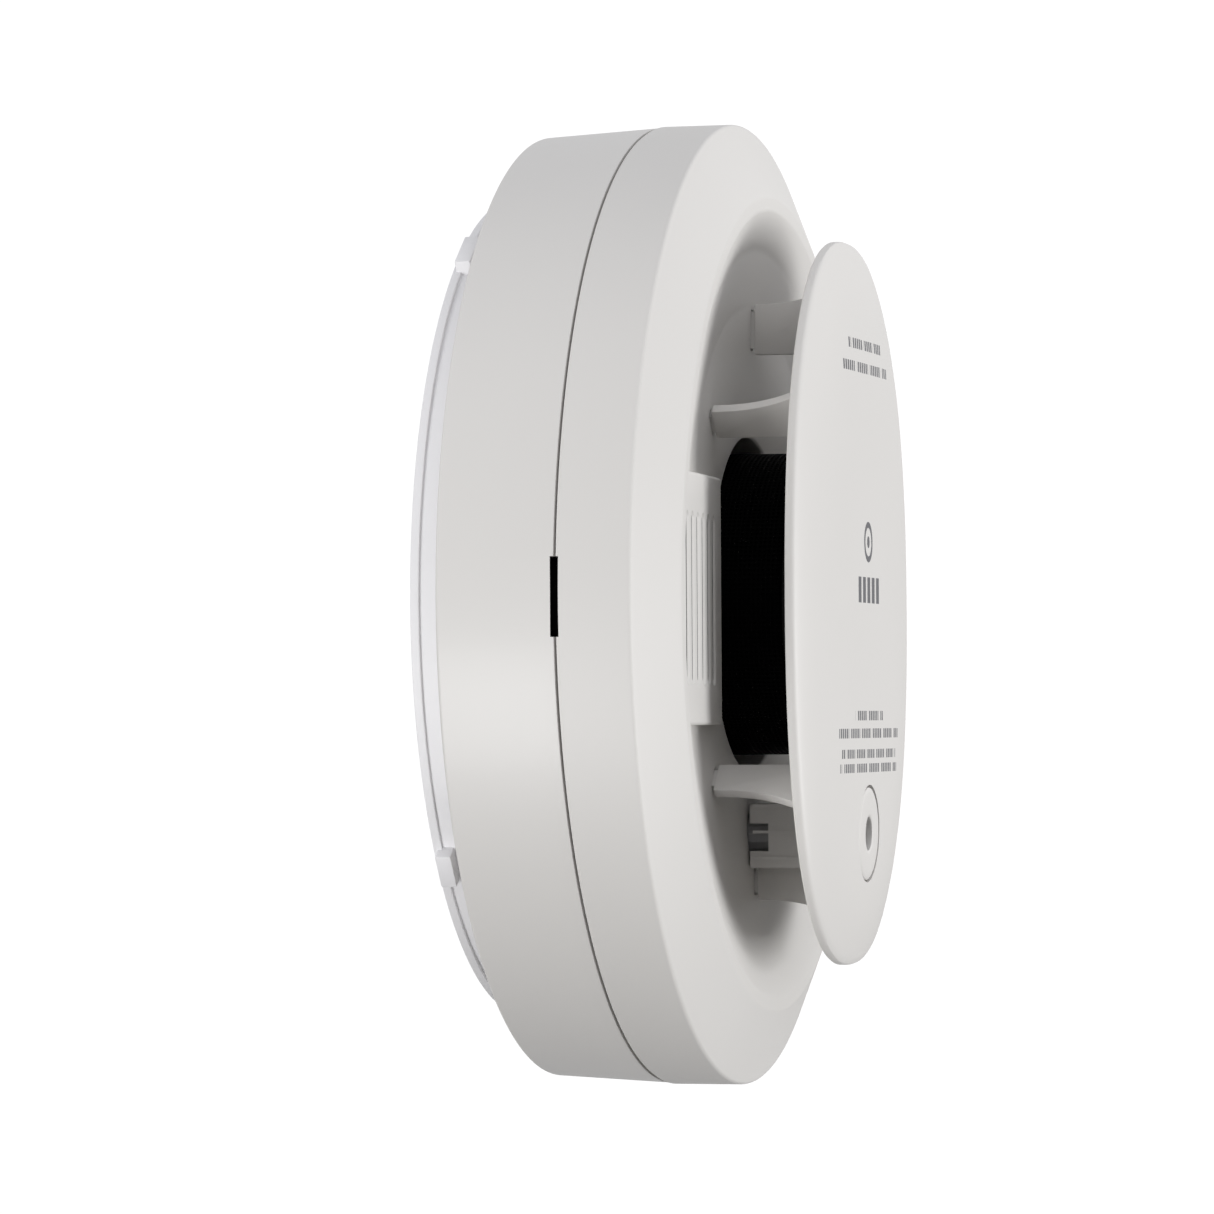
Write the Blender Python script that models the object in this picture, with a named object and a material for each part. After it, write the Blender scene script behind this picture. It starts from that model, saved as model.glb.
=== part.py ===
"""Wall-mounted smoke detector at rest: wall plane y = 0, front facing -Y, +Z up.

Lengths below are millimetres. A depth is the distance from the wall towards the front, so y = -depth,
and an angle is measured in the wall plane from +X towards +Z.
"""

import math

import bmesh
import bpy
from mathutils import Matrix, Vector

MM = 0.001
GAP = 0.3  # between pieces that touch in the real object
LARGE_SIDES = 48
SMALL_SIDES = 16

# Bracket against the wall
BRACKET_RADIUS = 60.8
BRACKET_FLANGE = 1.3
BRACKET_WALL_OUTER = 60.3
BRACKET_WALL_INNER = 58.3
BRACKET_DEPTH = 3.9
BRACKET_FLOOR = 1.8
LUG_INNER, LUG_RADIUS = 59.2, 62.5
LUG_BACK, LUG_FRONT = 0.5, 2.9
LUGS = ((125.3, 7.1), (218.0, 5.6), (305.3, 7.1), (38.0, 5.6))
KEYHOLE_X = 30.0
KEYHOLE_HEAD = 4.3
KEYHOLE_SLOT = 2.1
KEYHOLE_LOW, KEYHOLE_HIGH = -6.0, 6.9

# Bayonet between bracket and housing
HOOK_ANGLES = (60.0, 180.0, 300.0)
HOOK_HALF_SPAN = 4.5
HOOK_INNER, HOOK_OUTER, HOOK_LIP = 49.2, 50.8, 52.6
HOOK_TOP = 8.0
HOOK_CLEARANCE = 0.5
SLOT_AHEAD, SLOT_NARROW, SLOT_WIDE = 5.2, 6.5, 17.5

# Rear housing
HOUSING_BACK = 4.3
HOUSING_FLOOR = 6.3
HOUSING_EDGE = 23.4
HOUSING_EDGE_RADIUS = 70.83
HOUSING_FLAT_RADIUS = 61.6
HOUSING_CORNER = ((69.1, 6.12), (69.5, 6.25), (69.8, 6.5), (69.93, 6.9))
HOUSING_INNER_RADIUS = 68.6

# Front cover
COVER_RADIUS = 71.0
COVER_EDGE = 24.1
LIP_EDGE = 20.4
STEP_RADIUS, STEP_EDGE = 70.2, 23.7
LIP_OUTER, LIP_INNER = 68.1, 66.3
CREASE_DEPTH = 34.38
RIM_RADIUS, RIM_DEPTH = 59.3, 39.1
OPENING_RADIUS, OPENING_DEPTH = 24.7, 34.8
COLLAR_RADIUS, COLLAR_EDGE = 26.3, 24.0
BOWL = ((37.0, 35.3), (44.0, 35.6), (52.0, 37.0), (57.4, 38.55))
BOWL_BACK = ((37.0, 33.2), (44.0, 33.5), (52.0, 34.9), (58.5, 36.8))
PRY_SLOT_HALF = 5.55
PRY_NOTCH = ((-72.0, 23.05), (-66.0, 21.4), (-66.0, 24.0), (-72.0, 24.0))
PAD_OUTER_X, PAD_INNER_X, PAD_HALF = -57.3, -25.4, 17.8
PAD_OUTER_DEPTH, PAD_INNER_DEPTH = 38.9, 36.5
GRILLE_FIRST_X, GRILLE_PITCH, GRILLE_SLOTS = -55.6, 4.6, 6
GRILLE_WIDTH, GRILLE_HALF = 1.2, 11.5

# Front plate, a superellipse with a domed face
PLATE_HALF_WIDTH, PLATE_HALF_HEIGHT, PLATE_POWER = 38.3, 53.3, 2.35
PLATE_BACK, PLATE_EDGE, PLATE_CROWN = 48.6, 50.0, 52.8
DOME_POWER = 7.0
DOME_RINGS = (1.0, 0.96, 0.91, 0.84, 0.74, 0.58, 0.3)
STRUT_THICKNESS = 1.5
STRUTS = (
    (90.0, 37.0, 44.5, 35.9),
    (270.0, 38.5, 43.8, 35.9),
    (45.0, 34.0, 39.2, 35.7),
    (135.0, 34.0, 39.2, 35.7),
    (225.0, 34.0, 39.2, 35.7),
    (315.0, 34.0, 39.2, 35.7),
)
STRUT_FLARE = 2.4
TAB_THICKNESS, TAB_TIP, TAB_BARB, TAB_BARB_DEPTH = 1.1, 31.0, 0.8, 32.8

# Test button, its guide and its switch
BUTTON_Z = -34.0
BUTTON_RADIUS, BUTTON_CLEARANCE = 6.85, 0.35
LAMP_HOLE_RADIUS = 2.45
BUTTON_BOSS_OUTER, BUTTON_BOSS_INNER, BUTTON_BOSS_BACK = 4.6, 3.3, 48.9
WELL_RADIUS, WELL_BACK, WELL_FLOOR = 8.9, 46.4, 48.0
GUIDE_HALF_WIDTH, GUIDE_LOW, GUIDE_HIGH, GUIDE_BASE = 5.0, -39.0, -29.5, 35.6
GUIDE_BORE = 3.5
PLUNGER_OUTER, PLUNGER_INNER = 2.9, 2.25
FOOT_BACK, FOOT_FRONT = 27.1, 29.1
SWITCH_X = 9.5
PIPE_RADIUS = 1.9

# Circuit board and what stands on it
BOARD_BACK, BOARD_FRONT = 20.0, 21.6
BOARD_RADIUS, BOARD_EDGE_X = 58.0, 31.0
ON_BOARD = BOARD_FRONT + GAP
POST_ANGLES = (90.0, 210.0, 330.0)
POST_CIRCLE, POST_RADIUS, POST_BACK = 60.0, 3.4, 9.7
STANDOFFS = ((-30.0, 36.0), (-30.0, -36.0), (24.0, 30.0), (24.0, -30.0))
STANDOFF_RADIUS = 2.8

# Optical chamber
CHAMBER_RADIUS, CHAMBER_TOP = 22.4, 46.0
CHAMBER_FLOOR = 24.2
SCREEN_THICKNESS = 0.4
VANES, VANE_CIRCLE, VANE_LENGTH, VANE_TURN = 14, 19.3, 4.2, 38.0
EMITTER_ANGLE, RECEIVER_ANGLE = 200.0, 335.0
OPTIC_DEPTH, OPTIC_RADIUS = 28.0, 1.5

# Sounder
SOUNDER_X, SOUNDER_RADIUS, SOUNDER_TOP = -43.5, 16.3, 32.6
DISC_RADIUS, DISC_BACK, DISC_FRONT = 13.7, 26.6, 26.9

# Battery
CELL_X, CELL_DEPTH, CELL_RADIUS, CELL_HALF = 43.0, 16.0, 8.4, 22.5

# Activation slider
SLIDER_X, SLIDER_Z = -2.0, 14.0

WHITE_GLOSS = ((0.80, 0.79, 0.80), 0.34, 0.0)
WHITE_GRAIN = ((0.80, 0.79, 0.80), 0.55, 0.0)
GREY_PLASTIC = ((0.42, 0.42, 0.43), 0.5, 0.0)
BLACK_PLASTIC = ((0.012, 0.012, 0.013), 0.55, 0.0)
CLEAR_PLASTIC = ((0.55, 0.57, 0.58), 0.12, 0.0)
BOARD_GREEN = ((0.03, 0.16, 0.07), 0.45, 0.0)
STEEL = ((0.56, 0.55, 0.53), 0.3, 1.0)
BRASS = ((0.78, 0.57, 0.25), 0.3, 1.0)
CERAMIC = ((0.72, 0.69, 0.62), 0.6, 0.0)
NICKEL = ((0.66, 0.64, 0.60), 0.25, 1.0)
CELL_SLEEVE = ((0.05, 0.15, 0.34), 0.4, 0.0)
PAPER = ((0.78, 0.78, 0.76), 0.7, 0.0)
LAMP_RED = ((0.55, 0.03, 0.02), 0.2, 0.0)
INFRARED_TINT = ((0.05, 0.05, 0.09), 0.2, 0.0)
COPPER = ((0.72, 0.34, 0.18), 0.35, 1.0)


def at(x, depth, z):
    """Scene position, in metres, of a point given in millimetres and depth."""
    return Vector((x * MM, -depth * MM, z * MM))


def polar(radius, degrees):
    """X and Z of a point in the wall plane."""
    angle = math.radians(degrees)
    return radius * math.cos(angle), radius * math.sin(angle)


def arc(x, z, radius, start, end, steps):
    """Points along an arc in the wall plane."""
    turns = (start + (end - start) * i / steps for i in range(steps + 1))
    return [(x + dx, z + dz) for dx, dz in (polar(radius, turn) for turn in turns)]


def shape():
    return bmesh.new()


def loft(bm, first, second):
    """Adds the closed solid between two outlines that have the same number of points."""
    low = [bm.verts.new(point) for point in first]
    high = [bm.verts.new(point) for point in second]
    count = len(low)
    faces = [bm.faces.new(low), bm.faces.new(high)]
    for i in range(count):
        j = (i + 1) % count
        faces.append(bm.faces.new((low[i], low[j], high[j], high[i])))
    bmesh.ops.recalc_face_normals(bm, faces=faces)


def prism(bm, outline, back, front):
    """Adds an outline of X and Z points, carried from one depth to another."""
    loft(bm, [at(x, back, z) for x, z in outline], [at(x, front, z) for x, z in outline])


def side_prism(bm, outline, low, high):
    """Adds an outline of X and depth points, carried from one height to another."""
    loft(bm, [at(x, d, low) for x, d in outline], [at(x, d, high) for x, d in outline])


def box(bm, x, depth, z):
    """Adds a box, each argument being its low and high value."""
    prism(bm, [(x[0], z[0]), (x[1], z[0]), (x[1], z[1]), (x[0], z[1])], *depth)


def pin(bm, x, z, radius, back, front, sides=SMALL_SIDES):
    """Adds a cylinder that stands out from the wall."""
    prism(bm, arc(x, z, radius, 0, 360, sides)[:-1], back, front)


def sector(bm, inner, outer, start, end, back, front, steps=6):
    """Adds a piece of a ring."""
    outline = arc(0, 0, outer, start, end, steps) + arc(0, 0, inner, end, start, steps)
    prism(bm, outline, back, front)


def sweep(bm, profile, start, end, steps=4):
    """Adds a loop of radius and depth points, carried round part of a turn."""
    rows = []
    for i in range(steps + 1):
        dx, dz = polar(1.0, start + (end - start) * i / steps)
        rows.append([bm.verts.new(at(r * dx, d, r * dz)) for r, d in profile])
    faces = [bm.faces.new(rows[0]), bm.faces.new(rows[-1])]
    for row, following in zip(rows, rows[1:]):
        for i, vert in enumerate(row):
            j = (i + 1) % len(row)
            faces.append(bm.faces.new((vert, row[j], following[j], following[i])))
    bmesh.ops.recalc_face_normals(bm, faces=faces)


def stadium(bm, x, z, half_width, half_length, back, front, steps=5):
    """Adds a long hole's shape, upright and with round ends."""
    reach = half_length - half_width
    outline = arc(x, z + reach, half_width, 0, 180, steps)
    outline += arc(x, z - reach, half_width, 180, 360, steps)
    prism(bm, outline, back, front)


def radial_plate(bm, degrees, outline, thickness):
    """Adds an outline of radius and depth points, as an upright plate in one direction."""
    dx, dz = polar(1.0, degrees)
    half = thickness / 2
    sides = []
    for offset in (-half, half):
        sides.append([at(r * dx - offset * dz, d, r * dz + offset * dx) for r, d in outline])
    loft(bm, *sides)


def rod(bm, start, end, radius, sides=SMALL_SIDES):
    """Adds a cylinder between two scene positions."""
    along = end - start
    turn = along.to_track_quat("Z", "Y").to_matrix().to_4x4()
    place = Matrix.Translation((start + end) / 2) @ turn
    bmesh.ops.create_cone(
        bm, cap_ends=True, segments=sides, radius1=radius * MM, radius2=radius * MM,
        depth=along.length, matrix=place,
    )


def lathe(profile, sides=LARGE_SIDES, x=0.0, z=0.0):
    """Turns a loop of radius and depth points about an axis that stands out from the wall."""
    bm = shape()
    verts = [bm.verts.new(at(x + radius, depth, z)) for radius, depth in profile]
    edges = [bm.edges.new(pair) for pair in zip(verts, verts[1:])]
    if profile[0][0] > 0:
        edges.append(bm.edges.new((verts[-1], verts[0])))
    bmesh.ops.spin(
        bm, geom=verts + edges, cent=at(x, 0, z), axis=(0, -1, 0), angle=math.tau, steps=sides,
        use_merge=True, use_duplicate=False,
    )
    bmesh.ops.remove_doubles(bm, verts=bm.verts, dist=1e-6)
    bmesh.ops.recalc_face_normals(bm, faces=bm.faces)
    return bm


def node(name, bm, finish, smooth=False):
    """Makes the named object, with its own material."""
    mesh = bpy.data.meshes.new(name)
    bm.to_mesh(mesh)
    bm.free()
    colour, roughness, metallic = finish
    material = bpy.data.materials.new(name + "_finish")
    material.use_nodes = True
    shader = material.node_tree.nodes["Principled BSDF"]
    shader.inputs["Base Color"].default_value = (*colour, 1.0)
    shader.inputs["Roughness"].default_value = roughness
    shader.inputs["Metallic"].default_value = metallic
    mesh.materials.append(material)
    obj = bpy.data.objects.new(name, mesh)
    bpy.context.scene.collection.objects.link(obj)
    if smooth:
        mesh.shade_smooth()
        mesh.set_sharp_from_angle(angle=math.radians(30))
    return obj


def set_origin(obj, x, depth, z):
    """Moves the object's origin and leaves its shape where it is."""
    home = at(x, depth, z)
    obj.data.transform(Matrix.Translation(-home))
    obj.location = home


def combine(obj, bm, operation):
    """Unites the object with a shape, cuts the shape from it or keeps what both share."""
    tool = bpy.data.objects.new("tool", bpy.data.meshes.new("tool"))
    bm.to_mesh(tool.data)
    bm.free()
    bpy.context.scene.collection.objects.link(tool)
    modifier = obj.modifiers.new("combine", "BOOLEAN")
    modifier.operation = operation
    modifier.object = tool
    bpy.context.view_layer.update()
    graph = bpy.context.evaluated_depsgraph_get()
    made = bpy.data.meshes.new_from_object(obj.evaluated_get(graph))
    obj.modifiers.remove(modifier)
    old, obj.data = obj.data, made
    name = old.name
    bpy.data.meshes.remove(old)
    made.name = name
    bpy.data.meshes.remove(tool.data)


def add(obj, bm):
    combine(obj, bm, "UNION")


def cut(obj, bm):
    combine(obj, bm, "DIFFERENCE")


def mounting_bracket():
    profile = [
        (0, 0), (BRACKET_RADIUS, 0), (BRACKET_RADIUS, BRACKET_FLANGE),
        (BRACKET_WALL_OUTER, BRACKET_FLANGE), (BRACKET_WALL_OUTER, BRACKET_DEPTH),
        (BRACKET_WALL_INNER, BRACKET_DEPTH), (BRACKET_WALL_INNER, BRACKET_FLOOR), (0, BRACKET_FLOOR),
    ]
    bracket = node("mounting_bracket", lathe(profile), WHITE_GRAIN, smooth=True)
    windows = shape()
    box(windows, (-10, 10), (-1, 3), (8, 20))
    box(windows, (-14, 14), (-1, 3), (-22, -8))
    for side in (-1, 1):
        neck = math.degrees(math.asin(KEYHOLE_SLOT / KEYHOLE_HEAD))
        outline = arc(side * KEYHOLE_X, KEYHOLE_LOW, KEYHOLE_HEAD, 90 + neck, 450 - neck, 14)
        outline += arc(side * KEYHOLE_X, KEYHOLE_HIGH, KEYHOLE_SLOT, 0, 180, 6)
        prism(windows, outline, -1, 3)
        sector(windows, 40.0, 44.2, side * 90 - 16, side * 90 + 16, -1, 3, steps=7)
    cut(bracket, windows)
    lugs = shape()
    outline = [(LUG_INNER, LUG_BACK), (LUG_RADIUS, LUG_BACK), (LUG_RADIUS, LUG_FRONT), (LUG_INNER, LUG_FRONT)]
    for angle, width in LUGS:
        radial_plate(lugs, angle, outline, width)
    add(bracket, lugs)
    hooks = shape()
    hook = [(HOOK_INNER, 0.9), (HOOK_OUTER, 0.9), (HOOK_OUTER, HOUSING_FLOOR + GAP),
            (HOOK_LIP, HOUSING_FLOOR + GAP), (HOOK_LIP, HOOK_TOP - 0.6), (HOOK_LIP - 0.6, HOOK_TOP),
            (HOOK_INNER, HOOK_TOP)]
    for angle in HOOK_ANGLES:
        sweep(hooks, hook, angle - HOOK_HALF_SPAN, angle + HOOK_HALF_SPAN)
    add(bracket, hooks)


def rear_housing():
    profile = [(0, HOUSING_FLOOR), (61.0, HOUSING_FLOOR), (66.8, 7.8), (67.8, 8.9),
               (HOUSING_INNER_RADIUS, HOUSING_EDGE), (HOUSING_EDGE_RADIUS, HOUSING_EDGE),
               *reversed(HOUSING_CORNER), (HOUSING_FLAT_RADIUS, HOUSING_BACK), (0, HOUSING_BACK)]
    housing = node("rear_housing", lathe(profile), WHITE_GLOSS, smooth=True)
    stands = shape()
    for x, z in STANDOFFS:
        pin(stands, x, z, STANDOFF_RADIUS, HOUSING_FLOOR - 1, BOARD_BACK - GAP)
    for angle in POST_ANGLES:
        pin(stands, *polar(POST_CIRCLE, angle), 4.6, HOUSING_FLOOR - 1, 9.3)
    for z in (-13.0, 13.0):
        box(stands, (CELL_X - 9.5, CELL_X + 9.5), (HOUSING_FLOOR - 1, 12.0), (z - 1.2, z + 1.2))
    add(housing, stands)
    cuts = shape()
    for x, z in STANDOFFS:
        pin(cuts, x, z, 1.45, 11.0, BOARD_BACK + 1)
    for angle in POST_ANGLES:
        pin(cuts, *polar(POST_CIRCLE, angle), 3.5, HOUSING_BACK - 1, 7.0)
    for angle in HOOK_ANGLES:
        start, middle, end = angle - SLOT_WIDE, angle - SLOT_NARROW, angle + SLOT_AHEAD
        outline = arc(0, 0, HOOK_OUTER + HOOK_CLEARANCE, middle, end, 5)
        outline += arc(0, 0, HOOK_INNER - HOOK_CLEARANCE, end, start, 8)
        outline += arc(0, 0, HOOK_LIP + HOOK_CLEARANCE, start, middle, 5)
        prism(cuts, outline, HOUSING_BACK - 1, HOUSING_FLOOR + 1)
    box(cuts, (-4.9, 4.9), (HOUSING_BACK - 1, HOUSING_FLOOR + 1), (SLIDER_Z - 2.2, SLIDER_Z + 2.2))
    box(cuts, (-15.3, 15.3), (HOUSING_BACK - 1, 4.8), (-14.3, 2.3))
    side_prism(cuts, PRY_NOTCH, -PRY_SLOT_HALF, PRY_SLOT_HALF)
    cut(housing, cuts)
    bores = shape()
    for angle in POST_ANGLES:
        pin(bores, *polar(POST_CIRCLE, angle), 1.9, HOUSING_BACK, 10.5)
    rod(bores, at(CELL_X, CELL_DEPTH, -16), at(CELL_X, CELL_DEPTH, 16), CELL_RADIUS + 0.4, 32)
    cut(housing, bores)


def front_cover():
    slope = math.atan2(RIM_DEPTH - CREASE_DEPTH, COVER_RADIUS - RIM_RADIUS)
    shoulder = (COVER_RADIUS - math.cos(slope), CREASE_DEPTH + math.sin(slope))
    profile = [
        (COVER_RADIUS, COVER_EDGE), (COVER_RADIUS, CREASE_DEPTH - 0.7), (COVER_RADIUS - 0.16, CREASE_DEPTH),
        shoulder, (RIM_RADIUS + 1.6, RIM_DEPTH - 0.65), (RIM_RADIUS + 0.5, RIM_DEPTH - 0.25),
        (RIM_RADIUS - 0.6, RIM_DEPTH - 0.2), *reversed(BOWL), (OPENING_RADIUS, OPENING_DEPTH),
        (OPENING_RADIUS, COLLAR_EDGE), (COLLAR_RADIUS, COLLAR_EDGE), (COLLAR_RADIUS, 32.9), *BOWL_BACK,
        (60.0, 36.7), (68.4, 32.9), (68.4, 27.6), (LIP_INNER, 26.2), (LIP_INNER, LIP_EDGE),
        (LIP_OUTER, LIP_EDGE), (LIP_OUTER, STEP_EDGE), (STEP_RADIUS, STEP_EDGE), (STEP_RADIUS, COVER_EDGE),
    ]
    cover = node("front_cover", lathe(profile), WHITE_GRAIN, smooth=True)
    solid = shape()
    side_prism(
        solid,
        [(PAD_OUTER_X, 37.0), (-52, 35.7), (-44, 34.3), (PAD_INNER_X, 33.8),
         (PAD_INNER_X, PAD_INNER_DEPTH - 0.8), (PAD_INNER_X - 0.8, PAD_INNER_DEPTH),
         (PAD_OUTER_X, PAD_OUTER_DEPTH)],
        -PAD_HALF, PAD_HALF,
    )
    for angle in POST_ANGLES:
        pin(solid, *polar(POST_CIRCLE, angle), POST_RADIUS, POST_BACK, 37.4)
    add(cover, solid)
    cuts = shape()
    box(cuts, (-53.5, -30), (30, 35.4), (-14, 14))
    pin(cuts, 0, BUTTON_Z, 4.4, 31, 37)
    for angle in POST_ANGLES:
        pin(cuts, *polar(POST_CIRCLE, angle), 1.8, POST_BACK - 1, 22.5)
    for angle, inner, outer, _ in STRUTS:
        start, end = tab_span(inner, outer)
        outline = [(start - 0.35, 31), (end + 0.35, 31), (end + 0.35, 37), (start - 0.35, 37)]
        radial_plate(cuts, angle, outline, TAB_THICKNESS + 0.6)
    cut(cover, cuts)
    grille = shape()
    for i in range(GRILLE_SLOTS):
        stadium(grille, GRILLE_FIRST_X + i * GRILLE_PITCH, 0, GRILLE_WIDTH / 2, GRILLE_HALF, 30, 41)
    box(grille, (-72, -65), (LIP_EDGE - 1, COVER_EDGE + 0.15), (-PRY_SLOT_HALF, PRY_SLOT_HALF))
    cut(cover, grille)


def tab_span(inner, outer):
    """Inner and outer radius of the snap tab on a strut's foot."""
    return inner + 1.0, outer - 1.1


def plate_outline(scale, depth_of, sides=LARGE_SIDES):
    """One ring of the front plate, the superellipse drawn at a scale."""
    ring = []
    for i in range(sides):
        across, up = polar(1.0, 360 * i / sides)
        x = math.copysign(abs(across) ** (2 / PLATE_POWER), across) * PLATE_HALF_WIDTH * scale
        z = math.copysign(abs(up) ** (2 / PLATE_POWER), up) * PLATE_HALF_HEIGHT * scale
        ring.append(at(x, depth_of(scale), z))
    return ring


def dome(scale):
    """Depth of the plate's face at a scale of its outline, 0 being the middle."""
    return PLATE_EDGE + (PLATE_CROWN - PLATE_EDGE) * (1 - scale ** DOME_POWER)


def dome_back(scale):
    """Depth of the plate's back at a scale of its outline."""
    return PLATE_BACK + (PLATE_CROWN - PLATE_EDGE - 0.3) * (1 - scale ** DOME_POWER)


def dome_at(x, z):
    """Depth of the plate's back at a place on it."""
    power = abs(x / PLATE_HALF_WIDTH) ** PLATE_POWER + abs(z / PLATE_HALF_HEIGHT) ** PLATE_POWER
    return dome_back(min(power ** (1 / PLATE_POWER), 1.0))


def plate_shell():
    """The domed oval shell without its holes."""
    bm = shape()
    rings = [plate_outline(scale, dome) for scale in reversed(DOME_RINGS)]
    rings += [plate_outline(scale, dome_back) for scale in DOME_RINGS]
    rows = [[bm.verts.new(point) for point in ring] for ring in rings]
    for row, following in zip(rows, rows[1:]):
        for i, vert in enumerate(row):
            j = (i + 1) % len(row)
            bm.faces.new((vert, row[j], following[j], following[i]))
    for row, middle in ((rows[0], at(0, dome(0), 0)), (rows[-1], at(0, dome_back(0), 0))):
        top = bm.verts.new(middle)
        for i, vert in enumerate(row):
            bm.faces.new((vert, row[(i + 1) % len(row)], top))
    bmesh.ops.recalc_face_normals(bm, faces=bm.faces)
    return bm


def front_plate():
    plate = node("front_plate", plate_shell(), WHITE_GRAIN, smooth=True)
    struts = shape()
    tabs = shape()
    for angle, inner, outer, base in STRUTS:
        ends = [dome_at(*polar(r, angle)) + 0.5 for r in (inner, outer + STRUT_FLARE)]
        outline = [(inner, base), (outer, base), (outer + 0.4, base + 6), (outer + STRUT_FLARE, 48.0),
                   (outer + STRUT_FLARE, ends[1]), (inner, ends[0])]
        radial_plate(struts, angle, outline, STRUT_THICKNESS)
        start, end = tab_span(inner, outer)
        outline = [(start, TAB_TIP), (end, TAB_TIP), (end + TAB_BARB, TAB_BARB_DEPTH - 0.8),
                   (end + TAB_BARB, TAB_BARB_DEPTH), (end, TAB_BARB_DEPTH), (end, base + 1),
                   (start, base + 1)]
        radial_plate(tabs, angle, outline, TAB_THICKNESS)
    add(plate, struts)
    add(plate, tabs)
    well = shape()
    pin(well, 0, BUTTON_Z, WELL_RADIUS, WELL_BACK, 51.4, 40)
    add(plate, well)
    guide = shape()
    box(guide, (-GUIDE_HALF_WIDTH, GUIDE_HALF_WIDTH), (GUIDE_BASE, 47.2), (GUIDE_LOW, GUIDE_HIGH))
    add(plate, guide)
    cuts = shape()
    pin(cuts, 0, BUTTON_Z, BUTTON_RADIUS + BUTTON_CLEARANCE, WELL_FLOOR, PLATE_CROWN + 1, 40)
    cut(plate, cuts)
    cuts = shape()
    pin(cuts, 0, BUTTON_Z, GUIDE_BORE, GUIDE_BASE - 1, WELL_FLOOR + 1)
    cut(plate, cuts)
    window = shape()
    box(window, (-GUIDE_HALF_WIDTH - 1, -2), (GUIDE_BASE - 1, 38.5), (-36.5, -32.4))
    cut(plate, window)


def test_button():
    button = node("test_button", plate_shell(), WHITE_GRAIN, smooth=True)
    round_piece = shape()
    pin(round_piece, 0, BUTTON_Z, BUTTON_RADIUS, 45, 56, 40)
    combine(button, round_piece, "INTERSECT")
    boss = shape()
    pin(boss, 0, BUTTON_Z, BUTTON_BOSS_OUTER, BUTTON_BOSS_BACK, 51.5)
    add(button, boss)
    hollow = shape()
    pin(hollow, 0, BUTTON_Z, BUTTON_BOSS_INNER, 47, 51.0)
    cut(button, hollow)
    hole = shape()
    pin(hole, 0, BUTTON_Z, LAMP_HOLE_RADIUS, 50, 56)
    cut(button, hole)
    set_origin(button, 0, PLATE_CROWN, BUTTON_Z)


def button_plunger():
    body = shape()
    pin(body, 0, BUTTON_Z, PLUNGER_OUTER, FOOT_BACK, 50.6)
    plunger = node("button_plunger", body, GREY_PLASTIC, smooth=True)
    foot = shape()
    box(foot, (-2.4, SWITCH_X + 2.5), (FOOT_BACK + 0.1, FOOT_FRONT), (BUTTON_Z - 2.4, BUTTON_Z + 2.4))
    add(plunger, foot)
    bore = shape()
    pin(bore, 0, BUTTON_Z, PLUNGER_INNER, FOOT_BACK - 1, 52)
    cut(plunger, bore)
    set_origin(plunger, 0, FOOT_BACK, BUTTON_Z)


def light_pipe():
    pipe = lathe([(0, 50.5), (PIPE_RADIUS, 50.5), (PIPE_RADIUS, 25.6), (0, 25.6)], 16, z=BUTTON_Z)
    set_origin(node("light_pipe", pipe, CLEAR_PLASTIC, smooth=True), 0, 25.6, BUTTON_Z)


def test_switch():
    body = shape()
    box(body, (SWITCH_X - 3, SWITCH_X + 3), (ON_BOARD, 25.3), (BUTTON_Z - 3, BUTTON_Z + 3))
    switch = node("test_switch_body", body, BLACK_PLASTIC)
    bore = shape()
    pin(bore, SWITCH_X, BUTTON_Z, 2.1, 22.5, 27)
    cut(switch, bore)
    cap = shape()
    pin(cap, SWITCH_X, BUTTON_Z, 1.7, 23.4, FOOT_BACK - GAP)
    set_origin(node("test_switch_cap", cap, GREY_PLASTIC, smooth=True), SWITCH_X, 23.4, BUTTON_Z)


def status_led():
    dome_top = [(1.6 * math.cos(turn), 23.2 + 1.2 * math.sin(turn))
                for turn in (math.radians(step * 22.5) for step in range(5))]
    lamp = lathe([(0, ON_BOARD), (1.6, ON_BOARD), *dome_top[:-1], (0, 24.4)], 20, z=BUTTON_Z)
    node("status_led", lamp, LAMP_RED, smooth=True)


def circuit_board():
    reach = math.degrees(math.acos(BOARD_EDGE_X / BOARD_RADIUS))
    plate = shape()
    prism(plate, arc(0, 0, BOARD_RADIUS, reach, 360 - reach, 48), BOARD_BACK, BOARD_FRONT)
    board = node("circuit_board", plate, BOARD_GREEN)
    holes = shape()
    for x, z in STANDOFFS:
        pin(holes, x, z, 1.6, BOARD_BACK - 1, BOARD_FRONT + 1)
    for angle in POST_ANGLES[:2]:
        pin(holes, *polar(POST_CIRCLE, angle), POST_RADIUS + 1.0, BOARD_BACK - 1, BOARD_FRONT + 1)
    cut(board, holes)


def board_components():
    chip = shape()
    box(chip, (-6, 4), (18.2, BOARD_BACK - GAP), (-12, -2))
    node("microcontroller", chip, BLACK_PLASTIC)
    waist = [(0, ON_BOARD), (4.5, ON_BOARD), (4.5, 23.2), (3.4, 23.6), (3.4, 27.4), (4.5, 27.8),
             (4.5, 29.0), (0, 29.0)]
    node("boost_inductor", lathe(waist, 16, -18, -40), COPPER, smooth=True)
    can = [(0, ON_BOARD), (4.0, ON_BOARD), (4.0, 22.9), (3.7, 23.3), (4.0, 23.7), (4.0, 30.6),
           (3.6, 31.0), (0, 31.0)]
    node("capacitor_upper", lathe(can, 16, 13, 41), NICKEL, smooth=True)
    node("capacitor_lower", lathe(can, 16, 21, -42), NICKEL, smooth=True)


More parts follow.
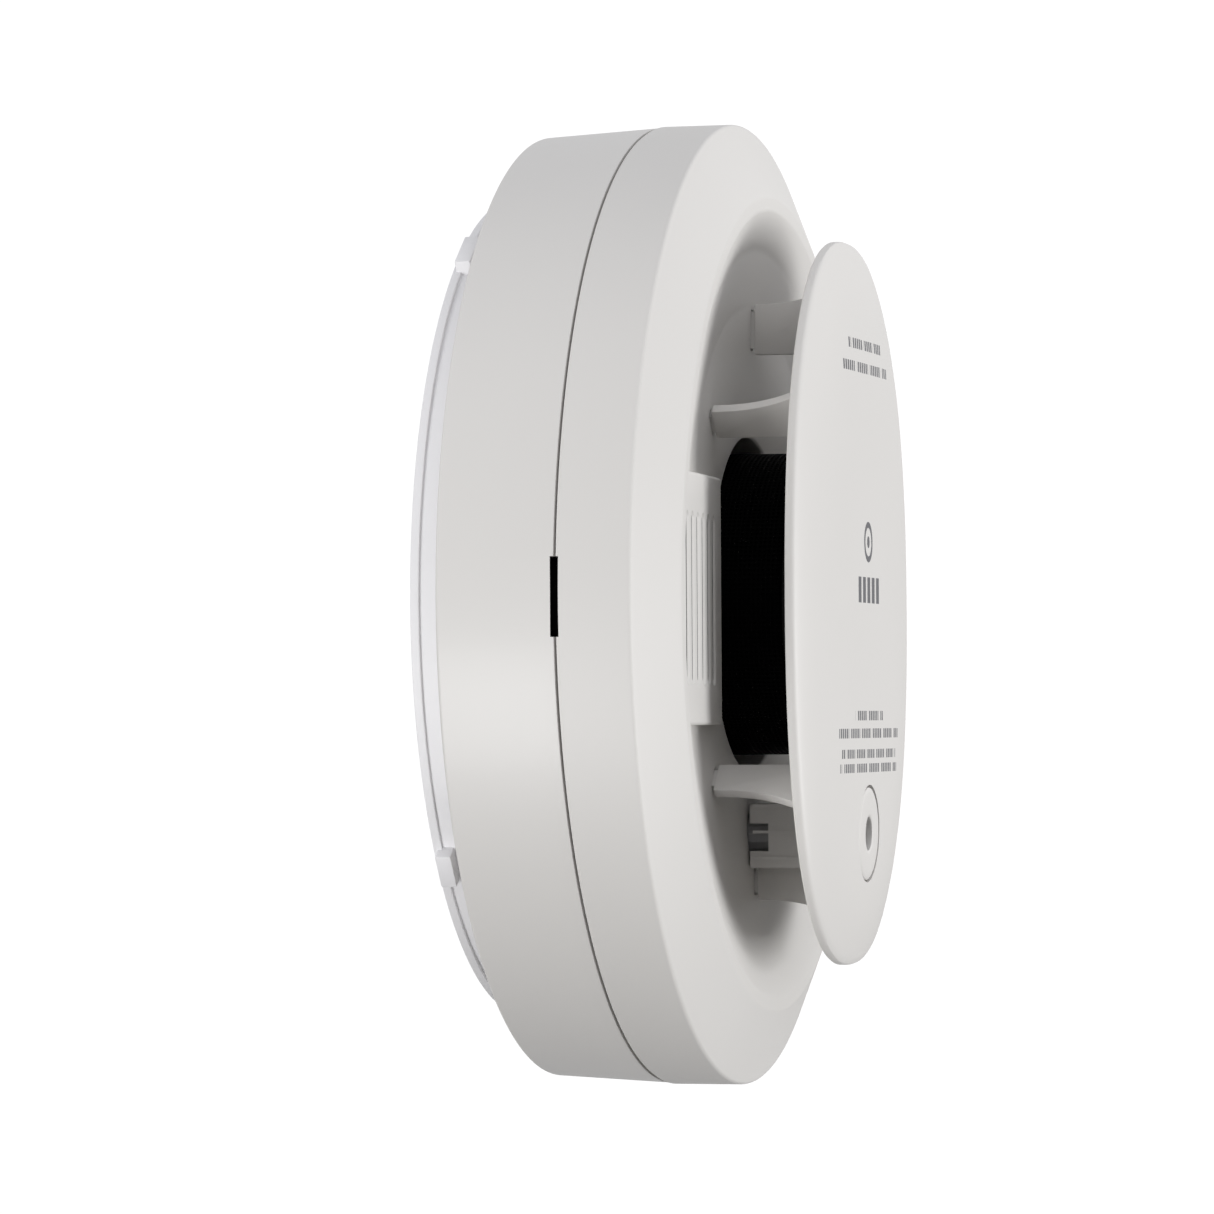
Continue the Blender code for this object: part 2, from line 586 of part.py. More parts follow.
def screws():
    for i, angle in enumerate(POST_ANGLES, 1):
        x, z = polar(POST_CIRCLE, angle)
        profile = [(0, 20.0), (1.0, 20.0), (1.45, 18.6), (1.45, 6.6)]
        profile += [(3.1, 6.6), (3.1, 5.2), (2.6, 4.8), (0, 4.8)]
        node(f"housing_screw_{i}", lathe(profile, 12, x, z), STEEL, smooth=True)
    for i, (x, z) in enumerate(STANDOFFS, 1):
        profile = [(0, 12.0), (0.8, 12.0), (1.1, 13.0), (1.1, ON_BOARD), (2.5, ON_BOARD), (2.5, 22.9),
                   (2.1, 23.3), (0, 23.3)]
        node(f"board_screw_{i}", lathe(profile, 12, x, z), STEEL, smooth=True)


def chamber_base():
    profile = [(0, 22.2), (23.6, 22.2), (23.6, 23.2), (22.4, CHAMBER_FLOOR), (0, CHAMBER_FLOOR)]
    base = node("chamber_base", lathe(profile, 36), BLACK_PLASTIC, smooth=True)
    holders = shape()
    for angle in (EMITTER_ANGLE, RECEIVER_ANGLE):
        outline = [(8.0, 23.6), (15.6, 23.6), (15.6, 31.0), (8.0, 31.0)]
        radial_plate(holders, angle, outline, 6.4)
    add(base, holders)
    bores = shape()
    for angle in (EMITTER_ANGLE, RECEIVER_ANGLE):
        near, far = polar(6.0, angle), polar(17.0, angle)
        ends = at(near[0], OPTIC_DEPTH, near[1]), at(far[0], OPTIC_DEPTH, far[1])
        rod(bores, *ends, OPTIC_RADIUS + GAP + 0.1, 16)
    cut(base, bores)


def optics():
    names = (("infrared_led", EMITTER_ANGLE, INFRARED_TINT), ("photodiode", RECEIVER_ANGLE, BLACK_PLASTIC))
    for name, angle, finish in names:
        near, far = polar(9.4, angle), polar(15.2, angle)
        lamp = shape()
        rod(lamp, at(near[0], OPTIC_DEPTH, near[1]), at(far[0], OPTIC_DEPTH, far[1]), OPTIC_RADIUS, 16)
        node(name, lamp, finish, smooth=True)


def chamber_cover():
    profile = [(0, 44.6), (CHAMBER_RADIUS, 44.6), (CHAMBER_RADIUS, CHAMBER_TOP - 0.5),
               (CHAMBER_RADIUS - 0.5, CHAMBER_TOP), (0, CHAMBER_TOP)]
    cover = node("chamber_cover", lathe(profile, 40), BLACK_PLASTIC, smooth=True)
    vanes = shape()
    for i in range(VANES):
        angle = 360 * (i + 0.5) / VANES
        centre = Vector(polar(VANE_CIRCLE, angle))
        along = Vector(polar(VANE_LENGTH / 2, angle + VANE_TURN))
        across = Vector(polar(0.5, angle + VANE_TURN + 90))
        corners = [centre - along - across, centre + along - across, centre + along + across,
                   centre - along + across]
        prism(vanes, [tuple(corner) for corner in corners], CHAMBER_FLOOR + 0.4, 45.0)
    add(cover, vanes)


def insect_screen():
    inner = CHAMBER_RADIUS - SCREEN_THICKNESS
    profile = [(inner, 24.6), (CHAMBER_RADIUS, 24.6), (CHAMBER_RADIUS, 44.3), (inner, 44.3)]
    node("insect_screen", lathe(profile, 40), BLACK_PLASTIC, smooth=True)


def sounder():
    inner = SOUNDER_RADIUS - 1.4
    profile = [(SOUNDER_RADIUS, 22.2), (SOUNDER_RADIUS, SOUNDER_TOP - 0.6),
               (SOUNDER_RADIUS - 0.6, SOUNDER_TOP), (4.5, SOUNDER_TOP), (4.5, 31.2), (inner, 31.2),
               (inner, 28.4), (13.0, 28.4), (13.0, DISC_FRONT + GAP), (DISC_RADIUS + 0.4, DISC_FRONT + GAP),
               (DISC_RADIUS + 0.4, 22.2)]
    node("sounder_housing", lathe(profile, 36, SOUNDER_X), BLACK_PLASTIC, smooth=True)
    brass = [(0, DISC_BACK), (DISC_RADIUS, DISC_BACK), (DISC_RADIUS, DISC_FRONT), (0, DISC_FRONT)]
    node("piezo_disc", lathe(brass, 32, SOUNDER_X), BRASS, smooth=True)
    ceramic = [(0, 26.0), (10.0, 26.0), (10.0, DISC_BACK - GAP), (0, DISC_BACK - GAP)]
    node("piezo_ceramic", lathe(ceramic, 28, SOUNDER_X), CERAMIC, smooth=True)
    contacts = (("piezo_contact_outer", -36.0, -32.6, DISC_BACK - GAP),
                ("piezo_contact_inner", -49.0, -43.5, 26.0 - GAP))
    for name, foot, tip, top in contacts:
        strip = shape()
        outline = [(foot, ON_BOARD), (foot + 3, ON_BOARD), (tip + 0.3, top - 0.4), (tip + 1.6, top - 0.4),
                   (tip + 1.6, top), (tip, top), (foot + 2.7, ON_BOARD + 0.4), (foot, ON_BOARD + 0.4)]
        side_prism(strip, outline, -1.2, 1.2)
        node(name, strip, BRASS)


def battery():
    can = shape()
    rod(can, at(CELL_X, CELL_DEPTH, -CELL_HALF), at(CELL_X, CELL_DEPTH, CELL_HALF - 1.2), CELL_RADIUS, 32)
    cell = node("battery_cell", can, CELL_SLEEVE, smooth=True)
    cap = shape()
    rod(cap, at(CELL_X, CELL_DEPTH, CELL_HALF - 2), at(CELL_X, CELL_DEPTH, CELL_HALF), 3.2)
    add(cell, cap)
    lows = {"battery_tab_positive": CELL_HALF + GAP, "battery_tab_negative": -CELL_HALF - GAP - 0.3}
    for name, low in lows.items():
        tab = shape()
        outline = [(CELL_X - 3, 12), (CELL_X + 3, 12), (CELL_X + 3, 24.4), (27, 24.4), (27, ON_BOARD),
                   (CELL_X - 3, ON_BOARD)]
        side_prism(tab, outline, low, low + 0.3)
        node(name, tab, NICKEL)


def activation_slider():
    flange = shape()
    width, height = (SLIDER_X - 7.2, SLIDER_X + 7.2), (SLIDER_Z - 3.4, SLIDER_Z + 3.4)
    box(flange, width, (HOUSING_FLOOR + GAP, 7.8), height)
    slider = node("activation_slider", flange, GREY_PLASTIC)
    parts = shape()
    box(parts, (SLIDER_X - 2.5, SLIDER_X + 2.5), (3.0, 7.2), (SLIDER_Z - 1.8, SLIDER_Z + 1.8))
    for side in (-1, 1):
        prong = sorted((SLIDER_X + side * 1.1, SLIDER_X + side * 2.4))
        box(parts, prong, (7.4, 15.0), (SLIDER_Z - 1.2, SLIDER_Z + 1.2))
    add(slider, parts)
    set_origin(slider, SLIDER_X, HOUSING_FLOOR, SLIDER_Z)
    body = shape()
    box(body, (-5.4, 5.4), (16.4, BOARD_BACK - GAP), (SLIDER_Z - 2, SLIDER_Z + 2))
    switch = node("slide_switch_body", body, NICKEL)
    slot = shape()
    box(slot, (-3.3, 3.3), (16, 18.8), (SLIDER_Z - 0.9, SLIDER_Z + 0.9))
    cut(switch, slot)
    lever = shape()
    box(lever, (SLIDER_X - 0.8, SLIDER_X + 0.8), (12.8, 18.3), (SLIDER_Z - 0.6, SLIDER_Z + 0.6))
    set_origin(node("slide_switch_lever", lever, BLACK_PLASTIC), SLIDER_X, 18.3, SLIDER_Z)


def rating_label():
    sheet = shape()
    box(sheet, (-15, 15), (HOUSING_BACK, HOUSING_BACK + 0.2), (-14, 2))
    node("rating_label", sheet, PAPER)


def clear_scene():
    for obj in list(bpy.data.objects):
        bpy.data.objects.remove(obj)


def main():
    clear_scene()
    mounting_bracket()
    rear_housing()
    front_cover()
    front_plate()
    test_button()
    button_plunger()
    light_pipe()
    test_switch()
    status_led()
    circuit_board()
    board_components()
    screws()
    chamber_base()
    optics()
    chamber_cover()
    insect_screen()
    sounder()
    battery()
    activation_slider()
    rating_label()


main()
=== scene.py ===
"""Finished look of a wall-mounted smoke detector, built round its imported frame.

Lengths in the classes are millimetres. A depth is the distance from the wall towards the front, which is -Y,
and an angle is measured in the wall plane from +X towards +Z.
"""

import logging
import math
from collections.abc import Callable, Iterable, Sequence
from dataclasses import dataclass
from enum import Enum

import bmesh
import bpy
from mathutils import Matrix, Vector


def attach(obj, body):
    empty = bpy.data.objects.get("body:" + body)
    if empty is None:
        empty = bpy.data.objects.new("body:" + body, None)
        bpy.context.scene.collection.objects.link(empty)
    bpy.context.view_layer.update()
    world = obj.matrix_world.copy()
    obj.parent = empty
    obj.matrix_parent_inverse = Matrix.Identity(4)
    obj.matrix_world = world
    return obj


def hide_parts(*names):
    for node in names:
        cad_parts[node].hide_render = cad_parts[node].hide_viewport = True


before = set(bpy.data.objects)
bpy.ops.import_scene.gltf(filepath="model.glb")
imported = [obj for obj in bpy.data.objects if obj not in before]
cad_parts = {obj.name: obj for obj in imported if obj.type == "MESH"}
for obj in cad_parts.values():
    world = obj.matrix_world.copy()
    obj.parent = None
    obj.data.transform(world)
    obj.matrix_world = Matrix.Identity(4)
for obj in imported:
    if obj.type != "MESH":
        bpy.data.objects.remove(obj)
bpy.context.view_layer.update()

MM = 0.001
SHARP_ANGLE = math.radians(32)
JOINING_GAP = 1e-7
SHELL_SIDES = 224
ROUND_SIDES = 64
CAN_SIDES = 48
BORE_SIDES = 32
SMALL_SIDES = 24
LOG = logging.getLogger("smoke_detector")

Point = tuple[float, float]
Corner = tuple[float, float, float]
Number = float | int
Colour = tuple[float, float, float]


def at(x: float, depth: float, z: float) -> Vector:
    """Returns the scene position, in metres, of a point given in millimetres and depth."""
    return Vector((x * MM, -depth * MM, z * MM))


def polar(radius: float, degrees: float) -> Point:
    """Returns X and Z of a point in the wall plane."""
    angle = math.radians(degrees)
    return radius * math.cos(angle), radius * math.sin(angle)


def arc(centre: Point, radius: float, start: float, end: float, steps: int) -> list[Point]:
    """Lists points along an arc.

    Args:
        centre: The arc's centre in the plane.
        radius: The arc's radius.
        start: First angle in degrees.
        end: Last angle in degrees.
        steps: Number of chords.

    Returns:
        The steps + 1 points.
    """
    points = []
    for i in range(steps + 1):
        across, up = polar(radius, start + (end - start) * i / steps)
        points.append((centre[0] + across, centre[1] + up))
    return points


def fillet(corners: Sequence[Corner], steps: int = 5, closed: bool = True) -> list[Point]:
    """Rounds the corners of an outline.

    Args:
        corners: Two coordinates and a rounding radius for each corner; 0 keeps it sharp.
        steps: Chords in each rounding.
        closed: Whether the outline is a loop. The ends of an open one stay sharp.

    Returns:
        The outline's points in order.
    """
    points: list[Point] = []
    count = len(corners)
    for i, (u, v, radius) in enumerate(corners):
        here = Vector((u, v))
        at_end = not closed and i in (0, count - 1)
        if radius <= 0 or at_end:
            points.append((u, v))
            continue
        before = Vector(corners[i - 1][:2]) - here
        after = Vector(corners[(i + 1) % count][:2]) - here
        turn = before.angle(after)
        reach = min(radius / math.tan(turn / 2), before.length * 0.49, after.length * 0.49)
        first = here + before.normalized() * reach
        last = here + after.normalized() * reach
        for step in range(steps + 1):
            t = step / steps
            bulge = first * (1 - t) ** 2 + here * 2 * t * (1 - t) + last * t ** 2
            points.append((bulge.x, bulge.y))
    return points


def rounded(x: Point, z: Point, corner: float) -> list[Point]:
    """Returns a rectangle's outline with rounded corners."""
    return fillet([(x[0], z[0], corner), (x[1], z[0], corner), (x[1], z[1], corner), (x[0], z[1], corner)])


def about(middle: float, half: float) -> Point:
    """Returns the low and high value of a span about its middle."""
    return middle - half, middle + half


class Operation(Enum):
    """How one solid acts on another."""

    ADD = "UNION"
    CUT = "DIFFERENCE"


class Solid:
    """A mesh under construction, made of closed shapes."""

    def __init__(self) -> None:
        """Starts with nothing."""
        self.bm = bmesh.new()

    def loft(self, rings: Sequence[Sequence[Vector]], looped: bool = False) -> "Solid":
        """Adds the closed skin over rings of points.

        Args:
            rings: Rings that all have the same number of points.
            looped: Whether the last ring joins the first. Otherwise each end gets a flat cap.

        Returns:
            This solid.
        """
        rows = [[self.bm.verts.new(point) for point in ring] for ring in rings]
        faces = [] if looped else [self.bm.faces.new(rows[0]), self.bm.faces.new(rows[-1])]
        for row, following in zip(rows, rows[1:] + rows[:1] if looped else rows[1:]):
            for i, vert in enumerate(row):
                j = (i + 1) % len(row)
                faces.append(self.bm.faces.new((vert, row[j], following[j], following[i])))
        bmesh.ops.recalc_face_normals(self.bm, faces=faces)
        return self

    def prism(self, outline: Sequence[Point], back: float, front: float) -> "Solid":
        """Adds an outline of X and Z points, carried between two depths."""
        return self.loft([[at(x, depth, z) for x, z in outline] for depth in (back, front)])

    def side_prism(self, outline: Sequence[Point], low: float, high: float) -> "Solid":
        """Adds an outline of X and depth points, carried between two heights."""
        return self.loft([[at(x, depth, z) for x, depth in outline] for z in (low, high)])

    def box(self, x: Point, depth: Point, z: Point) -> "Solid":
        """Adds a box, each argument being its low and high value."""
        return self.prism([(x[0], z[0]), (x[1], z[0]), (x[1], z[1]), (x[0], z[1])], *depth)

    def pin(self, centre: Point, radius: float, back: float, front: float, sides: int = 48) -> "Solid":
        """Adds a cylinder that stands out from the wall."""
        return self.prism(arc(centre, radius, 0, 360, sides)[:-1], back, front)

    def sector(self, radii: Point, span: Point, depths: Point, steps: int = 12) -> "Solid":
        """Adds a piece of a ring between two radii, two angles and two depths."""
        outline = arc((0, 0), radii[1], *span, steps) + arc((0, 0), radii[0], span[1], span[0], steps)
        return self.prism(outline, *depths)

    def sweep(self, profile: Sequence[Point], span: Point, steps: int = 12) -> "Solid":
        """Adds a loop of radius and depth points, carried round between two angles."""
        rings = []
        for i in range(steps + 1):
            dx, dz = polar(1.0, span[0] + (span[1] - span[0]) * i / steps)
            rings.append([at(radius * dx, depth, radius * dz) for radius, depth in profile])
        return self.loft(rings)

    def upright_plate(self, degrees: float, outline: Sequence[Point], thickness: float) -> "Solid":
        """Adds an outline of radius and depth points, as a plate that runs out in one direction."""
        dx, dz = polar(1.0, degrees)
        sides = []
        for offset in (-thickness / 2, thickness / 2):
            sides.append([at(r * dx - offset * dz, d, r * dz + offset * dx) for r, d in outline])
        return self.loft(sides)

    def rod(self, start: Vector, end: Vector, radius: float, sides: int = 32) -> "Solid":
        """Adds a cylinder between two scene positions."""
        along = end - start
        place = Matrix.Translation((start + end) / 2) @ along.to_track_quat("Z", "Y").to_matrix().to_4x4()
        bmesh.ops.create_cone(
            self.bm, cap_ends=True, segments=sides, radius1=radius * MM, radius2=radius * MM,
            depth=along.length, matrix=place,
        )
        return self

    def lathe(self, profile: Sequence[Point], sides: int = 192, centre: Point = (0.0, 0.0)) -> "Solid":
        """Turns radius and depth points about an axis that stands out from the wall.

        Args:
            profile: A loop of points, or a line whose two ends lie on the axis.
            sides: Number of facets round the axis.
            centre: X and Z of the axis.

        Returns:
            This solid.
        """
        x, z = centre
        verts = [self.bm.verts.new(at(x + radius, depth, z)) for radius, depth in profile]
        edges = [self.bm.edges.new(pair) for pair in zip(verts, verts[1:])]
        if profile[0][0] > 0:
            edges.append(self.bm.edges.new((verts[-1], verts[0])))
        bmesh.ops.spin(
            self.bm, geom=verts + edges, cent=at(x, 0, z), axis=(0, -1, 0), angle=math.tau,
            steps=sides, use_merge=True, use_duplicate=False,
        )
        bmesh.ops.remove_doubles(self.bm, verts=self.bm.verts, dist=JOINING_GAP)
        bmesh.ops.recalc_face_normals(self.bm, faces=self.bm.faces)
        return self

    def mesh(self, name: str) -> bpy.types.Mesh:
        """Returns the finished mesh and lets go of the construction."""
        made = bpy.data.meshes.new(name)
        self.bm.to_mesh(made)
        self.bm.free()
        return made


def combine(obj: bpy.types.Object, solid: Solid, operation: Operation) -> None:
    """Acts on an object's mesh with a solid.

    Args:
        obj: The object that changes.
        solid: The shape that acts, which is used up.
        operation: What it does.
    """
    tool = bpy.data.objects.new("tool", solid.mesh("tool"))
    bpy.context.scene.collection.objects.link(tool)
    modifier = obj.modifiers.new("combine", "BOOLEAN")
    modifier.operation = operation.value
    modifier.object = tool
    settle(obj)
    bpy.data.objects.remove(tool)


def settle(obj: bpy.types.Object) -> None:
    """Makes an object's modifiers part of its mesh and removes them."""
    bpy.context.view_layer.update()
    graph = bpy.context.evaluated_depsgraph_get()
    made = bpy.data.meshes.new_from_object(obj.evaluated_get(graph))
    old = obj.data
    obj.modifiers.clear()
    obj.data = made
    bpy.data.meshes.remove(old)


def soften(obj: bpy.types.Object, width: float, segments: int = 2, angle: float = 40.0) -> None:
    """Rounds an object's sharp edges.

    Args:
        obj: The object that changes.
        width: Rounding width in millimetres.
        segments: Faces across each rounding.
        angle: Edges that turn more than this, in degrees, are rounded.
    """
    bevel = obj.modifiers.new("soften", "BEVEL")
    bevel.width = width * MM
    bevel.segments = segments
    bevel.limit_method = "ANGLE"
    bevel.angle_limit = math.radians(angle)
    bevel.miter_outer = "MITER_ARC"
    settle(obj)


class Wire:
    """A node socket that arithmetic adds Math nodes to."""

    def __init__(self, graph: "Graph", socket: bpy.types.NodeSocket) -> None:
        """Remembers the socket and the graph that it is in."""
        self.graph = graph
        self.socket = socket

    def _math(self, operation: str, first: "Wire | Number", second: "Wire | Number") -> "Wire":
        """Adds one Math node."""
        return self.graph.wire("ShaderNodeMath", {"operation": operation}, {0: first, 1: second})

    def __add__(self, other: "Wire | Number") -> "Wire":
        """Adds."""
        return self._math("ADD", self, other)

    def __radd__(self, other: Number) -> "Wire":
        """Adds to a number."""
        return self._math("ADD", other, self)

    def __sub__(self, other: "Wire | Number") -> "Wire":
        """Subtracts."""
        return self._math("SUBTRACT", self, other)

    def __rsub__(self, other: Number) -> "Wire":
        """Subtracts from a number."""
        return self._math("SUBTRACT", other, self)

    def __mul__(self, other: "Wire | Number") -> "Wire":
        """Multiplies."""
        return self._math("MULTIPLY", self, other)

    def __truediv__(self, other: "Wire | Number") -> "Wire":
        """Divides."""
        return self._math("DIVIDE", self, other)

    def __lt__(self, other: "Wire | Number") -> "Wire":
        """Gives 1 where this is less."""
        return self._math("LESS_THAN", self, other)

    def __gt__(self, other: "Wire | Number") -> "Wire":
        """Gives 1 where this is greater."""
        return self._math("GREATER_THAN", self, other)

    def __abs__(self) -> "Wire":
        """Drops the sign."""
        return self._math("ABSOLUTE", self, 0.0)

    def fraction(self) -> "Wire":
        """Keeps what follows the decimal point."""
        return self._math("FRACT", self, 0.0)

    def sine(self) -> "Wire":
        """Gives the sine of this angle in radians."""
        return self._math("SINE", self, 0.0)

    def cosine(self) -> "Wire":
        """Gives the cosine of this angle in radians."""
        return self._math("COSINE", self, 0.0)

    def most(self, other: "Wire | Number") -> "Wire":
        """Gives the greater of the two."""
        return self._math("MAXIMUM", self, other)


class Graph:
    """A node tree with one way to add any node."""

    def __init__(self, tree: bpy.types.NodeTree) -> None:
        """Remembers the tree."""
        self.tree = tree

    def add(self, kind: str, settings: dict[str, object], values: dict[int | str, object]) -> bpy.types.Node:
        """Adds a node.

        Args:
            kind: The node's type.
            settings: Properties, set before any socket. A ramp's stops are position and colour pairs.
            values: What goes into its sockets, by name or number: a Wire, or a plain value.

        Returns:
            The node.
        """
        node = self.tree.nodes.new(kind)
        for key, value in settings.items():
            if key == "stops":
                self._fill_ramp(node.color_ramp, value)
            else:
                setattr(node, key, value)
        for key, value in values.items():
            if isinstance(value, Wire):
                self.tree.links.new(value.socket, node.inputs[key])
            else:
                node.inputs[key].default_value = value
        return node

    def wire(
        self, kind: str, settings: dict[str, object], values: dict[int | str, object], output: int | str = 0
    ) -> Wire:
        """Adds a node and returns one of its outputs."""
        return Wire(self, self.add(kind, settings, values).outputs[output])

    @staticmethod
    def _fill_ramp(ramp: bpy.types.ColorRamp, stops: Sequence[tuple[float, tuple[float, ...]]]) -> None:
        """Gives a ramp its stops."""
        while len(ramp.elements) < len(stops):
            ramp.elements.new(0.5)
        for element, (position, colour) in zip(ramp.elements, stops):
            element.position = position
            element.color = (*colour[:3], 1.0)

    def place(self) -> tuple[Wire, Wire, Wire]:
        """Returns the surface point's X, Y and Z in metres."""
        point = self.wire("ShaderNodeTexCoord", {}, {}, "Object")
        node = self.add("ShaderNodeSeparateXYZ", {}, {0: point})
        return Wire(self, node.outputs[0]), Wire(self, node.outputs[1]), Wire(self, node.outputs[2])

    def noise(self, scale: float, detail: float = 2.0, stretch: Sequence[float] = (1, 1, 1)) -> Wire:
        """Returns noise with a scale per metre, drawn out along the axes where stretch is under 1."""
        point = self.wire("ShaderNodeTexCoord", {}, {}, "Object")
        spread = self.wire("ShaderNodeMapping", {}, {"Vector": point, "Scale": tuple(stretch)})
        return self.wire("ShaderNodeTexNoise", {}, {"Vector": spread, "Scale": scale, "Detail": detail})

    def mix(self, share: Wire, first: object, second: object) -> Wire:
        """Mixes two colours, each one a Wire or three numbers."""
        colours = [c if isinstance(c, Wire) else (*c, 1.0) for c in (first, second)]
        return self.wire("ShaderNodeMix", {"data_type": "RGBA"}, {0: share, 6: colours[0], 7: colours[1]}, 2)

    def bump(self, height: Wire, strength: float, distance: float) -> Wire:
        """Returns the normal that a height gives, the distance being in millimetres."""
        values = {"Strength": strength, "Distance": distance * MM, "Height": height}
        return self.wire("ShaderNodeBump", {}, values)


@dataclass(frozen=True)
class Finish:
    """A plain surface, and the start of every other finish."""

    name: str
    colour: Colour
    roughness: float
    slot: str
    metallic: float = 0.0
    patch_scale: float = 90.0
    patch_change: float = 0.1

    def material(self) -> bpy.types.Material:
        """Returns the material, made the first time that it is asked for."""
        found = bpy.data.materials.get(self.name)
        if found:
            return found
        made = bpy.data.materials.new(self.name)
        made.use_nodes = True
        graph = Graph(made.node_tree)
        shader = made.node_tree.nodes["Principled BSDF"]
        shader.inputs["Base Color"].default_value = (*self.colour, 1.0)
        shader.inputs["Roughness"].default_value = self.roughness
        shader.inputs["Metallic"].default_value = self.metallic
        for name, value in self.surface(graph).items():
            if isinstance(value, Wire):
                made.node_tree.links.new(value.socket, shader.inputs[name])
            else:
                shader.inputs[name].default_value = value
        made.diffuse_color = (*self.colour, 1.0)
        return made

    def surface(self, graph: Graph) -> dict[str, object]:
        """Returns what differs from a flat surface, by the shader's socket names."""
        patch = graph.noise(self.patch_scale)
        return {"Roughness": self.roughness + (patch - 0.5) * self.patch_change}


@dataclass(frozen=True)
class Moulded(Finish):
    """Moulded plastic with a spark-eroded grain and faint flow clouds."""

    grain: float = 2600.0
    grain_height: float = 0.02
    grain_strength: float = 0.35
    wide_grain: float = 0.3
    cloud_scale: float = 35.0
    clouding: float = 0.03
    sheen_change: float = 0.12
    coat: float = 0.0
    coat_roughness: float = 0.12
    shine: float = 0.5

    def base(self, graph: Graph) -> Wire:
        """Returns the colour with its clouds."""
        cloud = graph.noise(self.cloud_scale, 3.0)
        darker = tuple(c * (1 - self.clouding) for c in self.colour)
        return graph.mix(cloud, darker, self.colour)

    def surface(self, graph: Graph) -> dict[str, object]:
        """Returns grain, clouds and an uneven sheen."""
        fine = graph.noise(self.grain, 3.0)
        wide = graph.noise(self.grain * self.wide_grain, 2.0)
        height = fine * (1 - self.wide_grain) + wide * self.wide_grain
        return {
            "Base Color": self.base(graph),
            "Roughness": self.roughness + (fine - 0.5) * self.sheen_change,
            "Normal": graph.bump(height, self.grain_strength, self.grain_height),
            "Coat Weight": self.coat,
            "Coat Roughness": self.coat_roughness,
            "Specular IOR Level": self.shine,
        }


@dataclass(frozen=True)
class PrintedLine:
    """A row of small dashes that stands for a printed line.

    The pitch is from dash to dash, and word is from gap to gap between groups of dashes.
    """

    z: float
    width: float
    height: float
    pitch: float
    word: float


@dataclass(frozen=True)
class Printed(Moulded):
    """Moulded plastic with plain grey marks printed on its front."""

    ink: Colour = (0.13, 0.13, 0.14)
    lines: tuple[PrintedLine, ...] = ()
    ring_z: float = 9.0
    ring_radius: float = 3.0
    ring_line: float = 0.9
    front_depth: float = 50.0
    dash_share: float = 0.66
    dash_start: float = 40.3
    word_share: float = 0.84
    word_start: float = 17.2
    word_shift: float = 0.13

    def marks(self, graph: Graph) -> Wire:
        """Returns 1 on the ink and 0 elsewhere."""
        x, y, z = graph.place()
        total = None
        for line in self.lines:
            row = abs(z - line.z * MM) < line.height * MM / 2
            reach = abs(x) < line.width * MM / 2
            strokes = (x / (line.pitch * MM) + self.dash_start).fraction() < self.dash_share
            start = x / (line.word * MM) + self.word_start + line.z * self.word_shift
            words = start.fraction() < self.word_share
            dash = row * reach * strokes * words
            total = dash if total is None else total + dash
        up = z - self.ring_z * MM
        from_ring = x * x + up * up
        outer = (self.ring_radius * MM) ** 2
        inner = ((self.ring_radius - self.ring_line) * MM) ** 2
        ring = (from_ring < outer) * (from_ring > inner)
        dot = from_ring < (self.ring_line * MM) ** 2
        facing = y < -self.front_depth * MM
        return (total + ring + dot) * facing

    def base(self, graph: Graph) -> Wire:
        """Returns the clouded colour with the ink over it."""
        return graph.mix(self.marks(graph), super().base(graph), self.ink)


@dataclass(frozen=True)
class Slotted(Moulded):
    """Moulded plastic with painted shade on its slots' walls below their flared mouths.

    The face goes from edge_depth at edge_x, and falls by fall for each millimetre of X.
    """

    edge_x: float = -57.3
    edge_depth: float = 38.9
    fall: float = 0.0752
    mouth: float = 0.3
    border: float = 0.9
    half_height: float = 12.4
    # colour of the painted shade inside the slots
    shade: Colour = (0.1, 0.098, 0.096)

    def base(self, graph: Graph) -> Wire:
        """Returns the clouded colour with painted shade on the slots' walls."""
        x, y, z = graph.place()
        face = self.edge_depth * MM - (x - self.edge_x * MM) * self.fall
        # painted shade: surface deeper than the slot mouth below the pad's face, inside the grille, gets the
        # shade colour
        below = (face + y) > self.mouth * MM
        inside = below * (abs(z) < self.half_height * MM) * (x > (self.edge_x + self.border) * MM)
        return graph.mix(inside, super().base(graph), self.shade)


@dataclass(frozen=True)
class Metal(Finish):
    """Drawn or rolled metal with fine lines along one axis."""

    metallic: float = 1.0
    lines: float = 1800.0
    line_change: float = 0.2
    patch_scale: float = 120.0
    patch_change: float = 0.15
    patch_tone: float = 0.8
    stretch: tuple[float, float, float] = (1.0, 0.05, 1.0)

    def surface(self, graph: Graph) -> dict[str, object]:
        """Returns rolled lines and dull patches."""
        lines = graph.noise(self.lines, 3.0, self.stretch)
        patch = graph.noise(self.patch_scale, 3.0)
        darker = tuple(c * self.patch_tone for c in self.colour)
        uneven = (lines - 0.5) * self.line_change + (patch - 0.5) * self.patch_change
        return {
            "Base Color": graph.mix(patch, darker, self.colour),
            "Roughness": self.roughness + uneven,
            "Normal": graph.bump(lines, 0.2, 0.01),
        }


